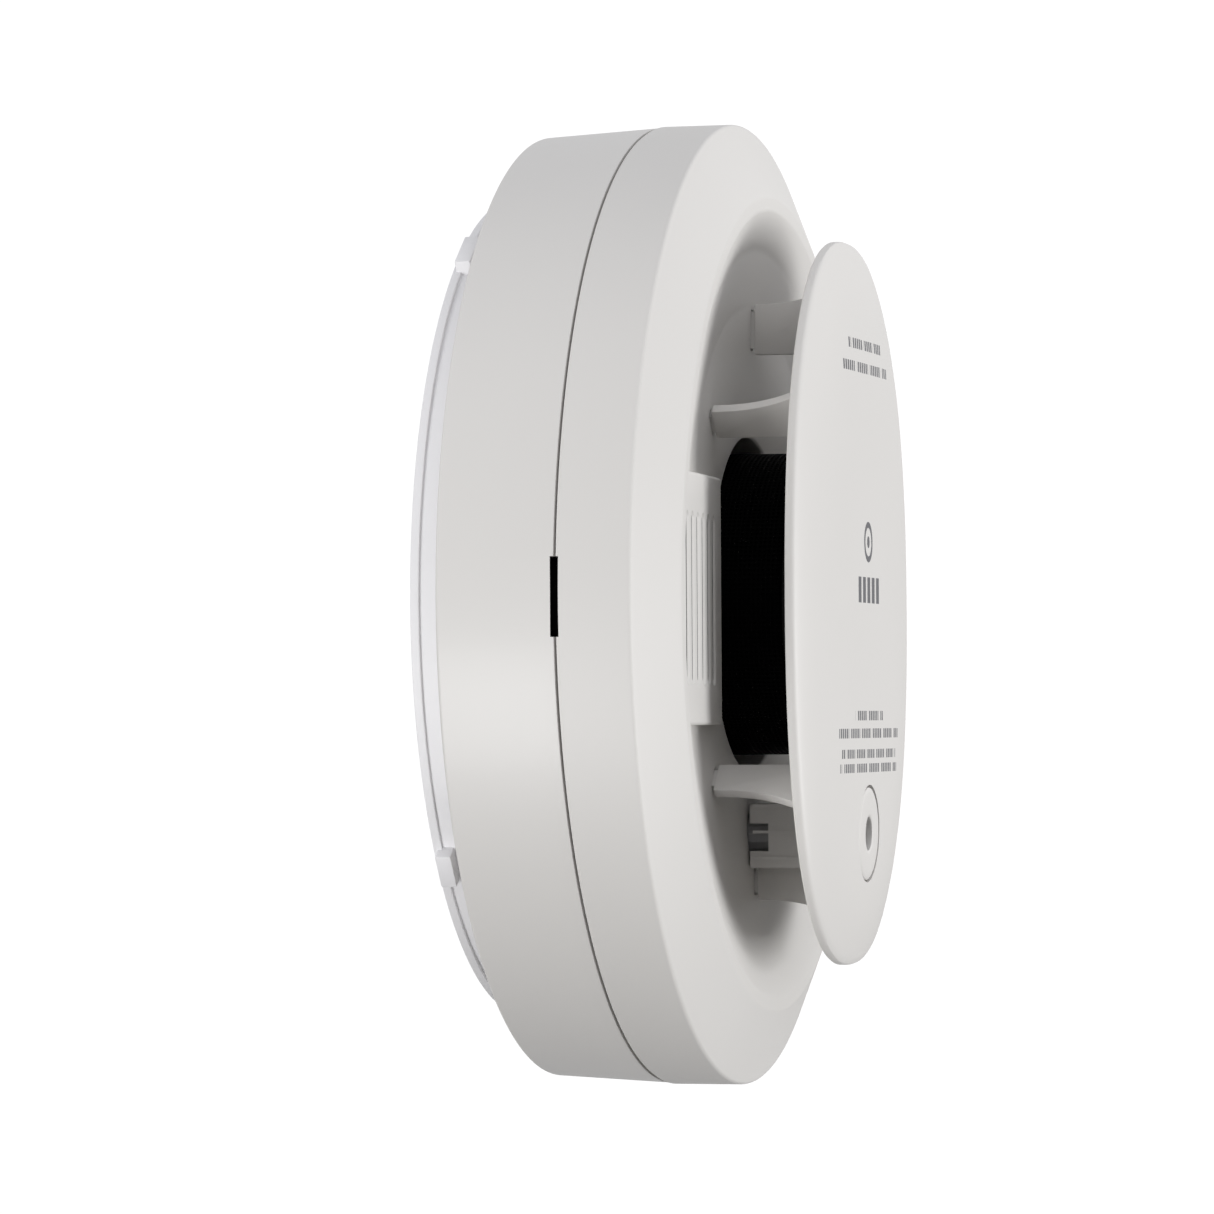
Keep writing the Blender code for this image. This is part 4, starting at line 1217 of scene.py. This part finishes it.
@dataclass
class FrontPlate:
    """The domed oval plate, with the struts and the button's guide on its back."""

    half_width: float = 38.3
    half_height: float = 53.3
    power: float = 2.35
    back: float = 48.6
    edge: float = 50.0
    crown: float = 52.8
    hollow: float = 2.5
    dome_power: float = 7.0
    sides: int = 192
    strut_thickness: float = 1.5
    struts: tuple[tuple[float, float, float, float], ...] = (
        (90.0, 37.0, 44.5, 35.9), (270.0, 38.5, 43.8, 35.9), (45.0, 34.0, 39.2, 35.7),
        (135.0, 34.0, 39.2, 35.7), (225.0, 34.0, 39.2, 35.7), (315.0, 34.0, 39.2, 35.7),
    )
    flare: float = 2.6
    flare_power: float = 2.4
    flare_steps: int = 12
    strut_top: float = 48.2
    foot_step: float = 0.2
    web_rounding: float = 0.22
    tab_inset: Point = (1.0, 1.1)
    tab_back: float = 31.0
    tab_width: float = 1.1
    catch: tuple[Point, ...] = ((0.0, 31.0), (0.8, 32.0), (0.8, 32.8), (0.0, 32.8))
    button_z: float = -34.0
    well: tuple[float, float, float] = (8.9, 46.4, 51.4)
    button_hole: tuple[float, float, float] = (7.2, 48.0, 54.0)
    plunger_hole: tuple[float, float, float] = (3.5, 45.0, 49.0)
    plunger_bore: tuple[float, float, float] = (3.5, 34.0, 48.0)
    face_scales: tuple[float, ...] = (0.02, 0.25, 0.45, 0.6, 0.7, 0.78, 0.84, 0.89, 0.93, 0.96, 0.98)
    back_scales: tuple[float, ...] = (0.97, 0.93, 0.87, 0.8, 0.7, 0.5, 0.25, 0.02)
    guide_box: tuple[Point, Point, Point] = ((-5.0, 5.0), (35.6, 46.5), (-39.0, -29.5))
    guide_window: tuple[Point, Point, Point] = ((-6.0, -2.0), (34.6, 38.5), (-36.5, -32.4))
    ridge_box: tuple[Point, Point, Point] = ((-5.25, -4.8), (36.2, 46.3), (-37.7, -37.3))
    guide_rounding: float = 0.35
    ridge_count: int = 3
    ridge_pitch: float = 3.85

    def ring(self, scale: float, depth: float) -> list[Vector]:
        """Returns one ring of the superellipse."""
        points = []
        for i in range(self.sides):
            across, up = polar(1.0, 360 * i / self.sides)
            x = math.copysign(abs(across) ** (2 / self.power), across) * self.half_width * scale
            z = math.copysign(abs(up) ** (2 / self.power), up) * self.half_height * scale
            points.append(at(x, depth, z))
        return points

    def face_depth(self, scale: float) -> float:
        """Returns the face's depth at a scale of the outline."""
        return self.edge + (self.crown - self.edge) * (1 - scale ** self.dome_power)

    def back_depth(self, scale: float) -> float:
        """Returns the back's depth at a scale of the outline."""
        return self.back + self.hollow * (1 - scale ** self.dome_power)

    def scale_at(self, x: float, z: float) -> float:
        """Returns the scale of the outline that passes through a place."""
        total = abs(x / self.half_width) ** self.power + abs(z / self.half_height) ** self.power
        return min(total ** (1 / self.power), 1.0)

    def tab_span(self, inner: float, outer: float) -> Point:
        """Returns the radii between which a strut's snap tab stands."""
        return inner + self.tab_inset[0], outer - self.tab_inset[1]

    def shell(self) -> Solid:
        """Returns the domed shell with a softened edge."""
        face = [(scale, self.face_depth(scale)) for scale in self.face_scales]
        rim = [(0.992, self.edge + 0.12), (0.998, self.edge - 0.12), (1.0, self.edge - 0.4),
               (1.0, self.back + 0.25), (0.997, self.back + 0.06), (0.99, self.back + 0.02)]
        inside = [(scale, self.back_depth(scale)) for scale in self.back_scales]
        return Solid().loft([self.ring(scale, depth) for scale, depth in face + rim + inside])

    def strut_outline(self, angle: float, inner: float, outer: float, base: float) -> list[Point]:
        """Returns a strut's section in radius and depth, with its flared outer edge."""
        top_outer = self.back_depth(self.scale_at(*polar(outer + self.flare, angle))) + 0.5
        top_inner = self.back_depth(self.scale_at(*polar(inner, angle))) + 0.5
        step = self.foot_step
        outline = [(inner + step, base), (outer - step, base)]
        for i in range(self.flare_steps + 1):
            share = i / self.flare_steps
            reach = outer + self.flare * share ** self.flare_power
            outline.append((reach, base + step + (self.strut_top - base) * share))
        outline += [(outer + self.flare, top_outer), (inner, top_inner), (inner, base + step)]
        return outline

    def build(self) -> None:
        """Builds the plate, then everything on its back."""
        plate = piece("plate_shell", self.shell(), PLATE_WHITE)
        centre = (0, self.button_z)
        combine(plate, Solid().pin(centre, *self.well, ROUND_SIDES), Operation.ADD)
        combine(plate, Solid().pin(centre, *self.button_hole, ROUND_SIDES), Operation.CUT)
        combine(plate, Solid().pin(centre, *self.plunger_hole, BORE_SIDES), Operation.CUT)
        settle_in(plate, Body.DETECTOR, PLATE_WHITE, ["front_plate"])
        self.webs()
        self.tabs()
        self.guide()

    def webs(self) -> None:
        """Builds the six struts."""
        solid = Solid()
        for strut in self.struts:
            solid.upright_plate(strut[0], self.strut_outline(*strut), self.strut_thickness)
        webs = piece("plate_struts", solid, COVER_WHITE)
        soften(webs, self.web_rounding)
        settle_in(webs, Body.DETECTOR, COVER_WHITE)

    def tabs(self) -> None:
        """Builds the snap tab, with its catch, at the end of each strut."""
        solid = Solid()
        for angle, inner, outer, base in self.struts:
            start, end = self.tab_span(inner, outer)
            outline = [(start, self.tab_back)] + [(end + out, depth) for out, depth in self.catch]
            outline += [(end, base + 1), (start, base + 1)]
            solid.upright_plate(angle, outline, self.tab_width)
        settle_in(piece("plate_tabs", solid, COVER_WHITE), Body.DETECTOR, COVER_WHITE)

    def guide(self) -> None:
        """Builds the button's guide with its window and ridges."""
        guide = piece("button_guide", Solid().box(*self.guide_box), COVER_WHITE)
        soften(guide, self.guide_rounding)
        bore = Solid().pin((0, self.button_z), *self.plunger_bore, BORE_SIDES)
        combine(guide, bore, Operation.CUT)
        combine(guide, Solid().box(*self.guide_window), Operation.CUT)
        settle_in(guide, Body.DETECTOR, COVER_WHITE)
        ridge = piece("guide_ridges", Solid().box(*self.ridge_box), COVER_WHITE)
        Row().repeat(ridge, COVER_WHITE, Count=self.ridge_count, Step=(0.0, 0.0, self.ridge_pitch * MM))
        settle_in(ridge, Body.DETECTOR, COVER_WHITE)


@dataclass
class TestButton:
    """The round button in the plate, with its plunger, lamp guide and switch."""

    plate: FrontPlate
    radius: float = 6.85
    lamp_hole: float = 2.45
    boss_outer: float = 4.6
    boss_inner: float = 3.3
    boss_back: float = 48.9
    boss_roof: float = 51.0
    edge_rings: tuple[Point, ...] = (
        (3.0, 0.0), (4.2, 0.0), (5.5, 0.0), (6.3, 0.0), (6.6, 0.05), (6.78, 0.16),
    )
    edge_drop: float = 0.42
    sides: int = 96

    def ring(self, radius: float, depth: Callable[[float], float]) -> list[Vector]:
        """Returns a ring round the button's axis whose depth follows the plate's shape."""
        points = []
        for i in range(self.sides):
            across, up = polar(radius, 360 * i / self.sides)
            z = self.plate.button_z + up
            points.append(at(across, depth(self.plate.scale_at(across, z)), z))
        return points

    def build(self) -> None:
        """Builds the cap as one closed loop of rings, and dresses what lies behind it."""
        face = self.plate.face_depth
        hole = self.lamp_hole
        drops = [(hole, 0.45), (hole + 0.07, 0.16), (hole + 0.25, 0.03), *self.edge_rings]
        drops.append((self.radius, self.edge_drop))
        rings = [
            self.ring(radius, lambda scale, drop=drop: face(scale) - drop) for radius, drop in drops
        ]
        rings += [self.ring(radius, self.plate.back_depth) for radius in (self.radius, self.boss_outer)]
        for radius, depth in (
            (self.boss_outer, self.boss_back), (self.boss_inner, self.boss_back),
            (self.boss_inner, self.boss_roof), (hole, self.boss_roof),
        ):
            rings.append(self.ring(radius, lambda _, depth=depth: depth))
        cap = piece("button_cap", Solid().loft(rings, looped=True), PLATE_WHITE)
        settle_in(cap, Body.BUTTON, PLATE_WHITE, ["test_button"])
        dress(GREY_MOULDING, "button_plunger", "test_switch_cap")
        dress(CLEAR_ACRYLIC, "light_pipe")
        dress(LAMP_LENS, "status_led")
        dress(BLACK_MOULDING, "test_switch_body")


@dataclass
class Chamber:
    """The optical chamber: cap, labyrinth, screen, base and the two optical parts."""

    radius: float = 22.4
    top: float = 46.0
    cap_back: float = 44.6
    floor: float = 24.2
    vanes: int = 14
    vane_circle: float = 19.3
    vane_length: float = 4.2
    vane_turn: float = 38.0
    vane_half: float = 0.5
    vane_bend: float = 0.8
    vane_top: float = 44.9
    screen_top: float = 44.3
    lift: float = 0.4
    # thickness of the black sheet that gives painted shade inside the screen
    shade_sheet: float = 0.08
    sides: int = 128
    screen_sides: int = 120
    wires: int = 200
    hoops: int = 28
    hoop_pitch: float = 0.7
    wire: float = 0.24

    def build(self) -> None:
        """Builds the chamber's pieces from the cap back to the base."""
        self.cap()
        self.labyrinth()
        self.screen()
        dress(BLACK_MOULDING, "chamber_base", "photodiode")
        dress(INFRARED_LENS, "infrared_led")

    def cap(self) -> None:
        """Builds the cap with a rounded shoulder, a shallow panel and a bead round it."""
        top, radius = self.top, self.radius
        profile = fillet([
            (0, self.cap_back, 0), (radius, self.cap_back, 0.15), (radius, top - 0.05, 0.55),
            (radius - 2.4, top, 0.1), (radius - 2.8, top - 0.35, 0.1), (radius - 5.0, top - 0.35, 0.1),
            (radius - 5.3, top - 0.1, 0.1), (0, top - 0.1, 0),
        ], closed=False)
        cap = piece("chamber_cap", Solid().lathe(profile, self.sides), BLACK_MOULDING)
        settle_in(cap, Body.DETECTOR, BLACK_MOULDING, ["chamber_cover"])

    def labyrinth(self) -> None:
        """Builds the ring of slanted vanes that keeps light out."""
        along = Vector(polar(self.vane_length / 2, self.vane_turn))
        across = Vector(polar(self.vane_half, self.vane_turn + 90))
        bend = Vector(polar(self.vane_bend, self.vane_turn + 90))
        corners = (
            -along - across, -bend - across, along - across, along + across, across - bend, across - along,
        )
        outline = [tuple(corner) for corner in corners]
        solid = Solid().prism(outline, self.floor + self.lift, self.vane_top)
        vane = piece("chamber_vanes", solid, BLACK_MOULDING)
        circle = self.vane_circle * MM
        Ring().repeat(vane, BLACK_MOULDING, Count=self.vanes, Radius=circle, Phase=math.pi / self.vanes)
        settle_in(vane, Body.DETECTOR, BLACK_MOULDING)

    def screen(self) -> None:
        """Builds the insect screen from upright wires and hoops, with a black sheet inside them for painted
        shade behind the wires.
        """
        half = self.wire / 2
        low, high = self.floor + self.lift, self.screen_top
        middle = self.radius - self.wire
        upright = piece("screen_uprights", Solid().box((-half, half), (low, high), (-half, half)), BLACK_MESH)
        Ring().repeat(upright, BLACK_MESH, Count=self.wires, Radius=middle * MM)
        settle_in(upright, Body.DETECTOR, BLACK_MESH, ["insect_screen"], smooth=False)
        hoop = [(middle - half, low), (middle + half, low), (middle + half, low + self.wire),
                (middle - half, low + self.wire)]
        hoops = piece("screen_hoops", Solid().lathe(hoop, self.screen_sides), BLACK_MESH)
        Row().repeat(hoops, BLACK_MESH, Count=self.hoops, Step=(0.0, -self.hoop_pitch * MM, 0.0))
        settle_in(hoops, Body.DETECTOR, BLACK_MESH)
        # painted shade: a black sheet just inside the wires keeps the screen's inside dark
        outer = middle - self.wire
        inner = outer - self.shade_sheet
        section = [(inner, low), (outer, low), (outer, high), (inner, high)]
        tube = Solid().lathe(section, self.screen_sides)
        settle_in(piece("screen_shade_sheet", tube, BLACK_MESH), Body.DETECTOR, BLACK_MESH)


@dataclass
class Sounder:
    """The resonator that stands under the grille, with its piezo disc and contacts."""

    x: float = -43.5
    radius: float = 16.3
    top: float = 32.6
    disc_radius: float = 13.7
    wall: float = 1.4
    sides: int = 96

    def build(self) -> None:
        """Builds the resonator with rounded edges and dresses the disc."""
        inner = self.radius - self.wall
        profile = fillet([
            (self.radius, 22.2, 0.2), (self.radius, self.top, 0.9), (7.4, self.top, 0.2),
            (7.0, self.top - 0.4, 0.2), (4.5, self.top - 0.4, 0.3), (4.5, 31.2, 0.2), (inner, 31.2, 0.4),
            (inner, 28.4, 0), (13.0, 28.4, 0), (13.0, 27.2, 0), (self.disc_radius + 0.4, 27.2, 0),
            (self.disc_radius + 0.4, 22.2, 0),
        ])
        horn = piece("sounder_horn", Solid().lathe(profile, self.sides, (self.x, 0.0)), BLACK_MOULDING)
        settle_in(horn, Body.DETECTOR, BLACK_MOULDING, ["sounder_housing"])
        dress(CONTACT_BRASS, "piezo_disc", "piezo_contact_outer", "piezo_contact_inner")
        dress(DISC_CERAMIC, "piezo_ceramic")


@dataclass
class Board:
    """The circuit board and the parts soldered to it."""

    front: float = 21.6
    chip_x: Point = (-6.0, 4.0)
    chip_z: Point = (-12.0, -2.0)
    chip_depth: Point = (18.2, 19.7)
    chip_rounding: float = 0.2
    dimple: tuple[Point, float, float, float] = ((-4.8, -10.8), 0.5, 17.9, 18.5)
    leads: int = 8
    lead_pitch: float = 1.2
    lead_z: Point = (-11.4, -11.0)
    lead_section: tuple[Point, ...] = (
        (-0.1, 18.9), (0.5, 18.9), (0.7, 19.75), (1.3, 19.75), (1.3, 19.95), (0.6, 19.95), (0.4, 19.1),
        (-0.1, 19.1),
    )
    cans: tuple[tuple[str, float, float], ...] = (
        ("capacitor_upper", 13.0, 41.0), ("capacitor_lower", 21.0, -42.0),
    )
    can_section: tuple[Corner, ...] = (
        (0, 21.9, 0), (4.0, 21.9, 0.3), (4.0, 22.9, 0.3), (3.65, 23.3, 0.3), (4.0, 23.7, 0.3),
        (4.0, 31.0, 0.5), (3.3, 31.0, 0.15), (3.2, 30.8, 0.1), (0, 30.8, 0),
    )
    score: Point = (2.6, 0.12)
    score_depths: Point = (30.65, 31.2)
    coil: Point = (-18.0, -40.0)
    coil_depths: Point = (23.5, 27.5)
    coil_radii: Point = (3.3, 3.55)
    turns: int = 8
    flange_radius: float = 4.5
    flanges: tuple[Point, ...] = ((21.9, 23.35), (27.55, 29.0))
    small_half: Point = (1.0, 0.6)
    small_height: Point = (0.02, 0.7)
    small_rounding: float = 0.1

    def build(self) -> None:
        """Dresses the board and builds its parts."""
        dress(BOARD_LACQUER, "circuit_board")
        self.chip()
        self.capacitors()
        self.inductor()
        self.small_parts()

    def chip(self) -> None:
        """Builds the controller with a corner dimple and a row of leads on each side."""
        block = Solid().box(self.chip_x, self.chip_depth, self.chip_z)
        chip = piece("controller_chip", block, BLACK_MOULDING)
        soften(chip, self.chip_rounding)
        combine(chip, Solid().pin(*self.dimple, SMALL_SIDES), Operation.CUT)
        settle_in(chip, Body.DETECTOR, BLACK_MOULDING, ["microcontroller"])
        sides = (("chip_leads_left", self.chip_x[0], -1), ("chip_leads_right", self.chip_x[1], 1))
        for name, x, side in sides:
            outline = [(x + side * reach, depth) for reach, depth in self.lead_section]
            lead = piece(name, Solid().side_prism(outline, *self.lead_z), TAB_NICKEL)
            Row().repeat(lead, TAB_NICKEL, Count=self.leads, Step=(0.0, 0.0, self.lead_pitch * MM))
            settle_in(lead, Body.DETECTOR, TAB_NICKEL)

    def capacitors(self) -> None:
        """Builds the two cans with rolled shoulders and a scored top."""
        long, thin = self.score
        for name, x, z in self.cans:
            solid = Solid().lathe(fillet(self.can_section, 4, closed=False), CAN_SIDES, (x, z))
            can = piece(f"{name}_can", solid, TAB_NICKEL)
            for half_x, half_z in ((long, thin), (thin, long)):
                score = Solid().box(about(x, half_x), self.score_depths, about(z, half_z))
                combine(can, score, Operation.CUT)
            settle_in(can, Body.DETECTOR, TAB_NICKEL, [name])

    def inductor(self) -> None:
        """Builds the drum core's winding and its two flanges."""
        (low, high), (inner, outer) = self.coil_depths, self.coil_radii
        pitch = (high - low) / self.turns
        section: list[Corner] = [(0, low - 0.1, 0), (inner, low - 0.1, 0)]
        for i in range(self.turns):
            start = low + i * pitch
            section += [(inner, start, 0), (outer, start + 0.1, 0.1), (outer, start + 0.35, 0.1)]
        section += [(inner, high, 0), (0, high, 0)]
        solid = Solid().lathe(fillet(section, 3, closed=False), CAN_SIDES, self.coil)
        winding = piece("inductor_winding", solid, COPPER_WINDING)
        settle_in(winding, Body.DETECTOR, COPPER_WINDING, ["boost_inductor"])
        core = Solid()
        radius = self.flange_radius
        for low, high in self.flanges:
            flange = [(0, low, 0), (radius, low, 0.25), (radius, high, 0.25), (0, high, 0)]
            core.lathe(fillet(flange, 3, closed=False), CAN_SIDES, self.coil)
        settle_in(piece("inductor_core", core, BLACK_MOULDING), Body.DETECTOR, BLACK_MOULDING)

    def small_parts(self) -> None:
        """Builds rows of small chip parts on the front of the board."""
        rows = (
            ("chip_resistors", BLACK_MOULDING, (-12.0, 34.0), 6, (3.4, 0.0)),
            ("chip_capacitors", DISC_CERAMIC, (-10.0, -30.0), 5, (0.0, -3.2)),
            ("chip_diodes", BLACK_MOULDING, (2.0, 44.0), 3, (0.0, 3.4)),
        )
        half_x, half_z = self.small_half
        depths = (self.front + self.small_height[0], self.front + self.small_height[1])
        for name, finish, (x, z), count, (step_x, step_z) in rows:
            part = piece(name, Solid().box(about(x, half_x), depths, about(z, half_z)), finish)
            soften(part, self.small_rounding)
            Row().repeat(part, finish, Count=count, Step=(step_x * MM, 0.0, step_z * MM))
            settle_in(part, Body.DETECTOR, finish)


@dataclass
class Battery:
    """The sealed cell in its cradle and the tabs welded to it."""

    axis: Point = (43.0, 16.0)
    section: tuple[Point, ...] = (
        (-22.5, 7.6), (-22.35, 8.1), (-22.0, 8.35), (-21.6, 8.4), (20.4, 8.4), (20.9, 8.35), (21.2, 8.1),
        (21.3, 7.6), (21.2, 4.2), (21.5, 3.3), (22.2, 3.2), (22.45, 2.9), (22.5, 2.4),
    )

    def build(self) -> None:
        """Builds the cell with rolled ends and a raised terminal."""
        rings = []
        for z, radius in self.section:
            rings.append([at(x, depth, z) for x, depth in arc(self.axis, radius, 0, 360, ROUND_SIDES)[:-1]])
        cell = piece("cell_body", Solid().loft(rings), CELL_SLEEVE)
        settle_in(cell, Body.DETECTOR, CELL_SLEEVE, ["battery_cell"])
        dress(TAB_NICKEL, "battery_tab_positive", "battery_tab_negative")


@dataclass
class Slider:
    """The switch slider in the housing's back, and the slide switch that it works."""

    x: float = -2.0
    z: float = 14.0
    knob_half: Point = (2.5, 1.8)
    knob_depths: Point = (3.0, 7.2)
    flange_half: Point = (7.2, 3.4)
    flange_depths: Point = (6.6, 7.8)
    prong: Point = (1.1, 2.4)
    prong_half: float = 1.2
    prong_depths: Point = (7.4, 15.0)
    grooves: int = 4
    groove_first: float = -1.8
    groove_pitch: float = 1.2
    groove_half: Point = (0.22, 2.2)
    groove_depths: Point = (2.8, 3.35)
    rounding: float = 0.18

    def block(self, half: Point, depths: Point) -> Solid:
        """Returns a box about the slider's middle."""
        return Solid().box(about(self.x, half[0]), depths, about(self.z, half[1]))

    def build(self) -> None:
        """Builds the slider with its flange, prongs and ridged thumb pad."""
        slider = piece("slider_knob", self.block(self.knob_half, self.knob_depths), GREY_MOULDING)
        parts = self.block(self.flange_half, self.flange_depths)
        near, far = self.prong
        for span in ((self.x - far, self.x - near), (self.x + near, self.x + far)):
            parts.box(span, self.prong_depths, about(self.z, self.prong_half))
        combine(slider, parts, Operation.ADD)
        soften(slider, self.rounding)
        grooves = Solid()
        half_x, half_z = self.groove_half
        for i in range(self.grooves):
            x = self.x + self.groove_first + i * self.groove_pitch
            grooves.box(about(x, half_x), self.groove_depths, about(self.z, half_z))
        combine(slider, grooves, Operation.CUT)
        settle_in(slider, Body.SLIDER, GREY_MOULDING, ["activation_slider"])
        dress(TAB_NICKEL, "slide_switch_body")
        dress(BLACK_MOULDING, "slide_switch_lever")


@dataclass
class Screw:
    """A pan-headed cross-recess screw on the detector's axis, its head towards the crown's depth."""

    name: str
    shank: tuple[Point, ...]
    head_radius: float
    under: float
    crown: float
    recess_reach: float = 0.62
    recess_half: float = 0.3
    recess_deep: float = 0.75
    flat_share: float = 0.72
    sides: int = 40

    def build(self) -> bpy.types.Object:
        """Builds the screw.

        Returns:
            The screw, standing at the origin.
        """
        out = math.copysign(1.0, self.crown - self.under)
        head = [(self.head_radius, self.under, 0.1), (self.head_radius, self.crown - out * 0.5, 0.5),
                (self.head_radius * self.flat_share, self.crown, 0.6), (0, self.crown, 0)]
        profile = fillet([(r, d, 0) for r, d in self.shank] + head, 4, closed=False)
        screw = piece(self.name, Solid().lathe(profile, self.sides), SCREW_STEEL)
        depths = sorted((self.crown - out * self.recess_deep, self.crown + out))
        for angle in (0, 90):
            dx, dz = polar(self.head_radius * self.recess_reach, angle)
            nx, nz = polar(self.recess_half, angle + 90)
            outline = [(-dx - nx, -dz - nz), (dx - nx, dz - nz), (dx + nx, dz + nz), (-dx + nx, -dz + nz)]
            combine(screw, Solid().prism(outline, *depths), Operation.CUT)
        return screw


@dataclass
class Fasteners:
    """The screws that close the housing and hold the board."""

    posts: Posts
    closing_shank: tuple[Point, ...] = ((0, 20.0), (1.0, 20.0), (1.45, 18.6), (1.45, 6.6))
    closing_head: tuple[float, float, float] = (3.1, 6.6, 4.8)
    board_shank: tuple[Point, ...] = ((0, 12.0), (0.8, 12.0), (1.1, 13.0), (1.1, 21.9))
    board_head: tuple[float, float, float] = (2.5, 21.9, 23.3)

    def build(self) -> None:
        """Builds one screw of each sort and repeats it."""
        closing = Screw("housing_screws", self.closing_shank, *self.closing_head).build()
        angles = self.posts.angles
        start = math.radians(angles[0])
        Ring().repeat(closing, SCREW_STEEL, Count=len(angles), Radius=self.posts.circle * MM, Phase=start)
        nodes = [f"housing_screw_{number}" for number in (1, 2, 3)]
        settle_in(closing, Body.DETECTOR, SCREW_STEEL, nodes)
        rows = (
            ("board_screws_sounder_side", -30.0, 36.0, ["board_screw_1", "board_screw_2"]),
            ("board_screws_cell_side", 24.0, 30.0, ["board_screw_3", "board_screw_4"]),
        )
        for name, x, z, nodes in rows:
            screw = Screw(name, self.board_shank, *self.board_head).build()
            start, step = (x * MM, 0.0, z * MM), (0.0, 0.0, -2 * z * MM)
            Row().repeat(screw, SCREW_STEEL, Count=2, Start=start, Step=step)
            settle_in(screw, Body.DETECTOR, SCREW_STEEL, nodes)


@dataclass(frozen=True)
class Lamp:
    """A soft rectangular light aimed at the detector."""

    name: str
    place: tuple[float, float, float]
    width: float
    height: float
    watts: float


@dataclass
class Studio:
    """Camera, soft lights, sky and floor."""

    eye: tuple[float, float, float] = (-0.853231, -0.231441, -0.016851)
    right: tuple[float, float, float] = (0.248233, -0.96868, -0.006198)
    up: tuple[float, float, float] = (-0.016831, -0.01071, 0.999801)
    lens: float = 174.96
    film_width: float = 36.0
    floor_z: float = -0.12
    floor_radius: float = 0.34
    floor_sides: int = 96
    nearest: float = 0.01
    backdrop_strength: float = 1.05
    sky_stops: tuple[tuple[float, Colour], ...] = (
        (0.0, (0.012, 0.01, 0.008)), (0.44, (0.04, 0.036, 0.032)), (0.55, (0.66, 0.66, 0.665)),
        (1.0, (0.8, 0.81, 0.84)),
    )
    lamps: tuple[Lamp, ...] = (
        Lamp("key", (-0.8, -0.55, 0.9), 0.5, 0.5, 0.8),
        Lamp("side", (-1.1, 0.4, -0.5), 0.6, 0.6, 10.3),
        Lamp("front", (0.1, -1.25, -0.2), 0.6, 0.6, 11.3),
    )

    def build(self) -> None:
        """Sets up everything round the detector."""
        self.camera()
        for lamp in self.lamps:
            self.light(lamp)
        self.sky()
        self.floor()
        bpy.context.scene.view_settings.view_transform = "Standard"

    def camera(self) -> None:
        """Makes the camera and places it by its own axes."""
        data = bpy.data.cameras.new("camera")
        data.lens = self.lens
        data.sensor_width = self.film_width
        data.clip_start = self.nearest
        camera = bpy.data.objects.new("camera", data)
        right, up = Vector(self.right).normalized(), Vector(self.up).normalized()
        turned = Matrix((right, up, right.cross(up))).transposed().to_4x4()
        camera.matrix_world = Matrix.Translation(Vector(self.eye)) @ turned
        bpy.context.scene.collection.objects.link(camera)
        bpy.context.scene.camera = camera

    def light(self, lamp: Lamp) -> None:
        """Makes one light."""
        data = bpy.data.lights.new(lamp.name, "AREA")
        data.shape = "RECTANGLE"
        data.size, data.size_y = lamp.width, lamp.height
        data.energy = lamp.watts
        light = bpy.data.objects.new(lamp.name, data)
        place = Vector(lamp.place)
        light.matrix_world = Matrix.Translation(place) @ place.to_track_quat("Z", "Y").to_matrix().to_4x4()
        bpy.context.scene.collection.objects.link(light)

    def sky(self) -> None:
        """Makes a white backdrop whose light falls off from above to below."""
        world = bpy.data.worlds.new("studio_sky")
        world.use_nodes = True
        world.node_tree.nodes.clear()
        graph = Graph(world.node_tree)
        direction = graph.wire("ShaderNodeTexCoord", {}, {}, "Generated")
        height = graph.wire("ShaderNodeSeparateXYZ", {}, {0: direction}, "Z")
        shade = graph.wire("ShaderNodeValToRGB", {"stops": self.sky_stops}, {0: height * 0.5 + 0.5})
        glow = graph.wire("ShaderNodeBackground", {}, {"Color": shade})
        white = {"Color": (1.0, 1.0, 1.0, 1.0), "Strength": self.backdrop_strength}
        backdrop = graph.wire("ShaderNodeBackground", {}, white)
        seen = graph.wire("ShaderNodeLightPath", {}, {}, "Is Camera Ray")
        mixed = graph.wire("ShaderNodeMixShader", {}, {0: seen, 1: glow, 2: backdrop})
        graph.add("ShaderNodeOutputWorld", {}, {"Surface": mixed})
        bpy.context.scene.world = world

    def floor(self) -> None:
        """Makes a pale round floor below the detector."""
        bm = bmesh.new()
        place = Matrix.Translation((0, 0, self.floor_z))
        bmesh.ops.create_circle(
            bm, cap_ends=True, segments=self.floor_sides, radius=self.floor_radius, matrix=place
        )
        mesh = bpy.data.meshes.new("floor")
        bm.to_mesh(mesh)
        bm.free()
        mesh.materials.append(FLOOR_PALE.material())
        floor = bpy.data.objects.new("floor", mesh)
        bpy.context.scene.collection.objects.link(floor)
        floor.visible_diffuse = False
        floor.visible_shadow = False


def main() -> None:
    """Builds the detector from the wall forwards, then the studio."""
    logging.basicConfig(level=logging.INFO, format="%(name)s %(message)s")
    bayonet = Bayonet()
    posts = Posts()
    plate = FrontPlate()
    assemblies = (
        Bracket(bayonet), RearHousing(bayonet, posts), Fasteners(posts), Battery(), Board(), Slider(),
        Chamber(), Sounder(), FrontCover(plate, posts), plate, TestButton(plate), Studio(),
    )
    for assembly in assemblies:
        LOG.info("building %s", type(assembly).__name__)
        assembly.build()


if __name__ == "__main__":
    main()
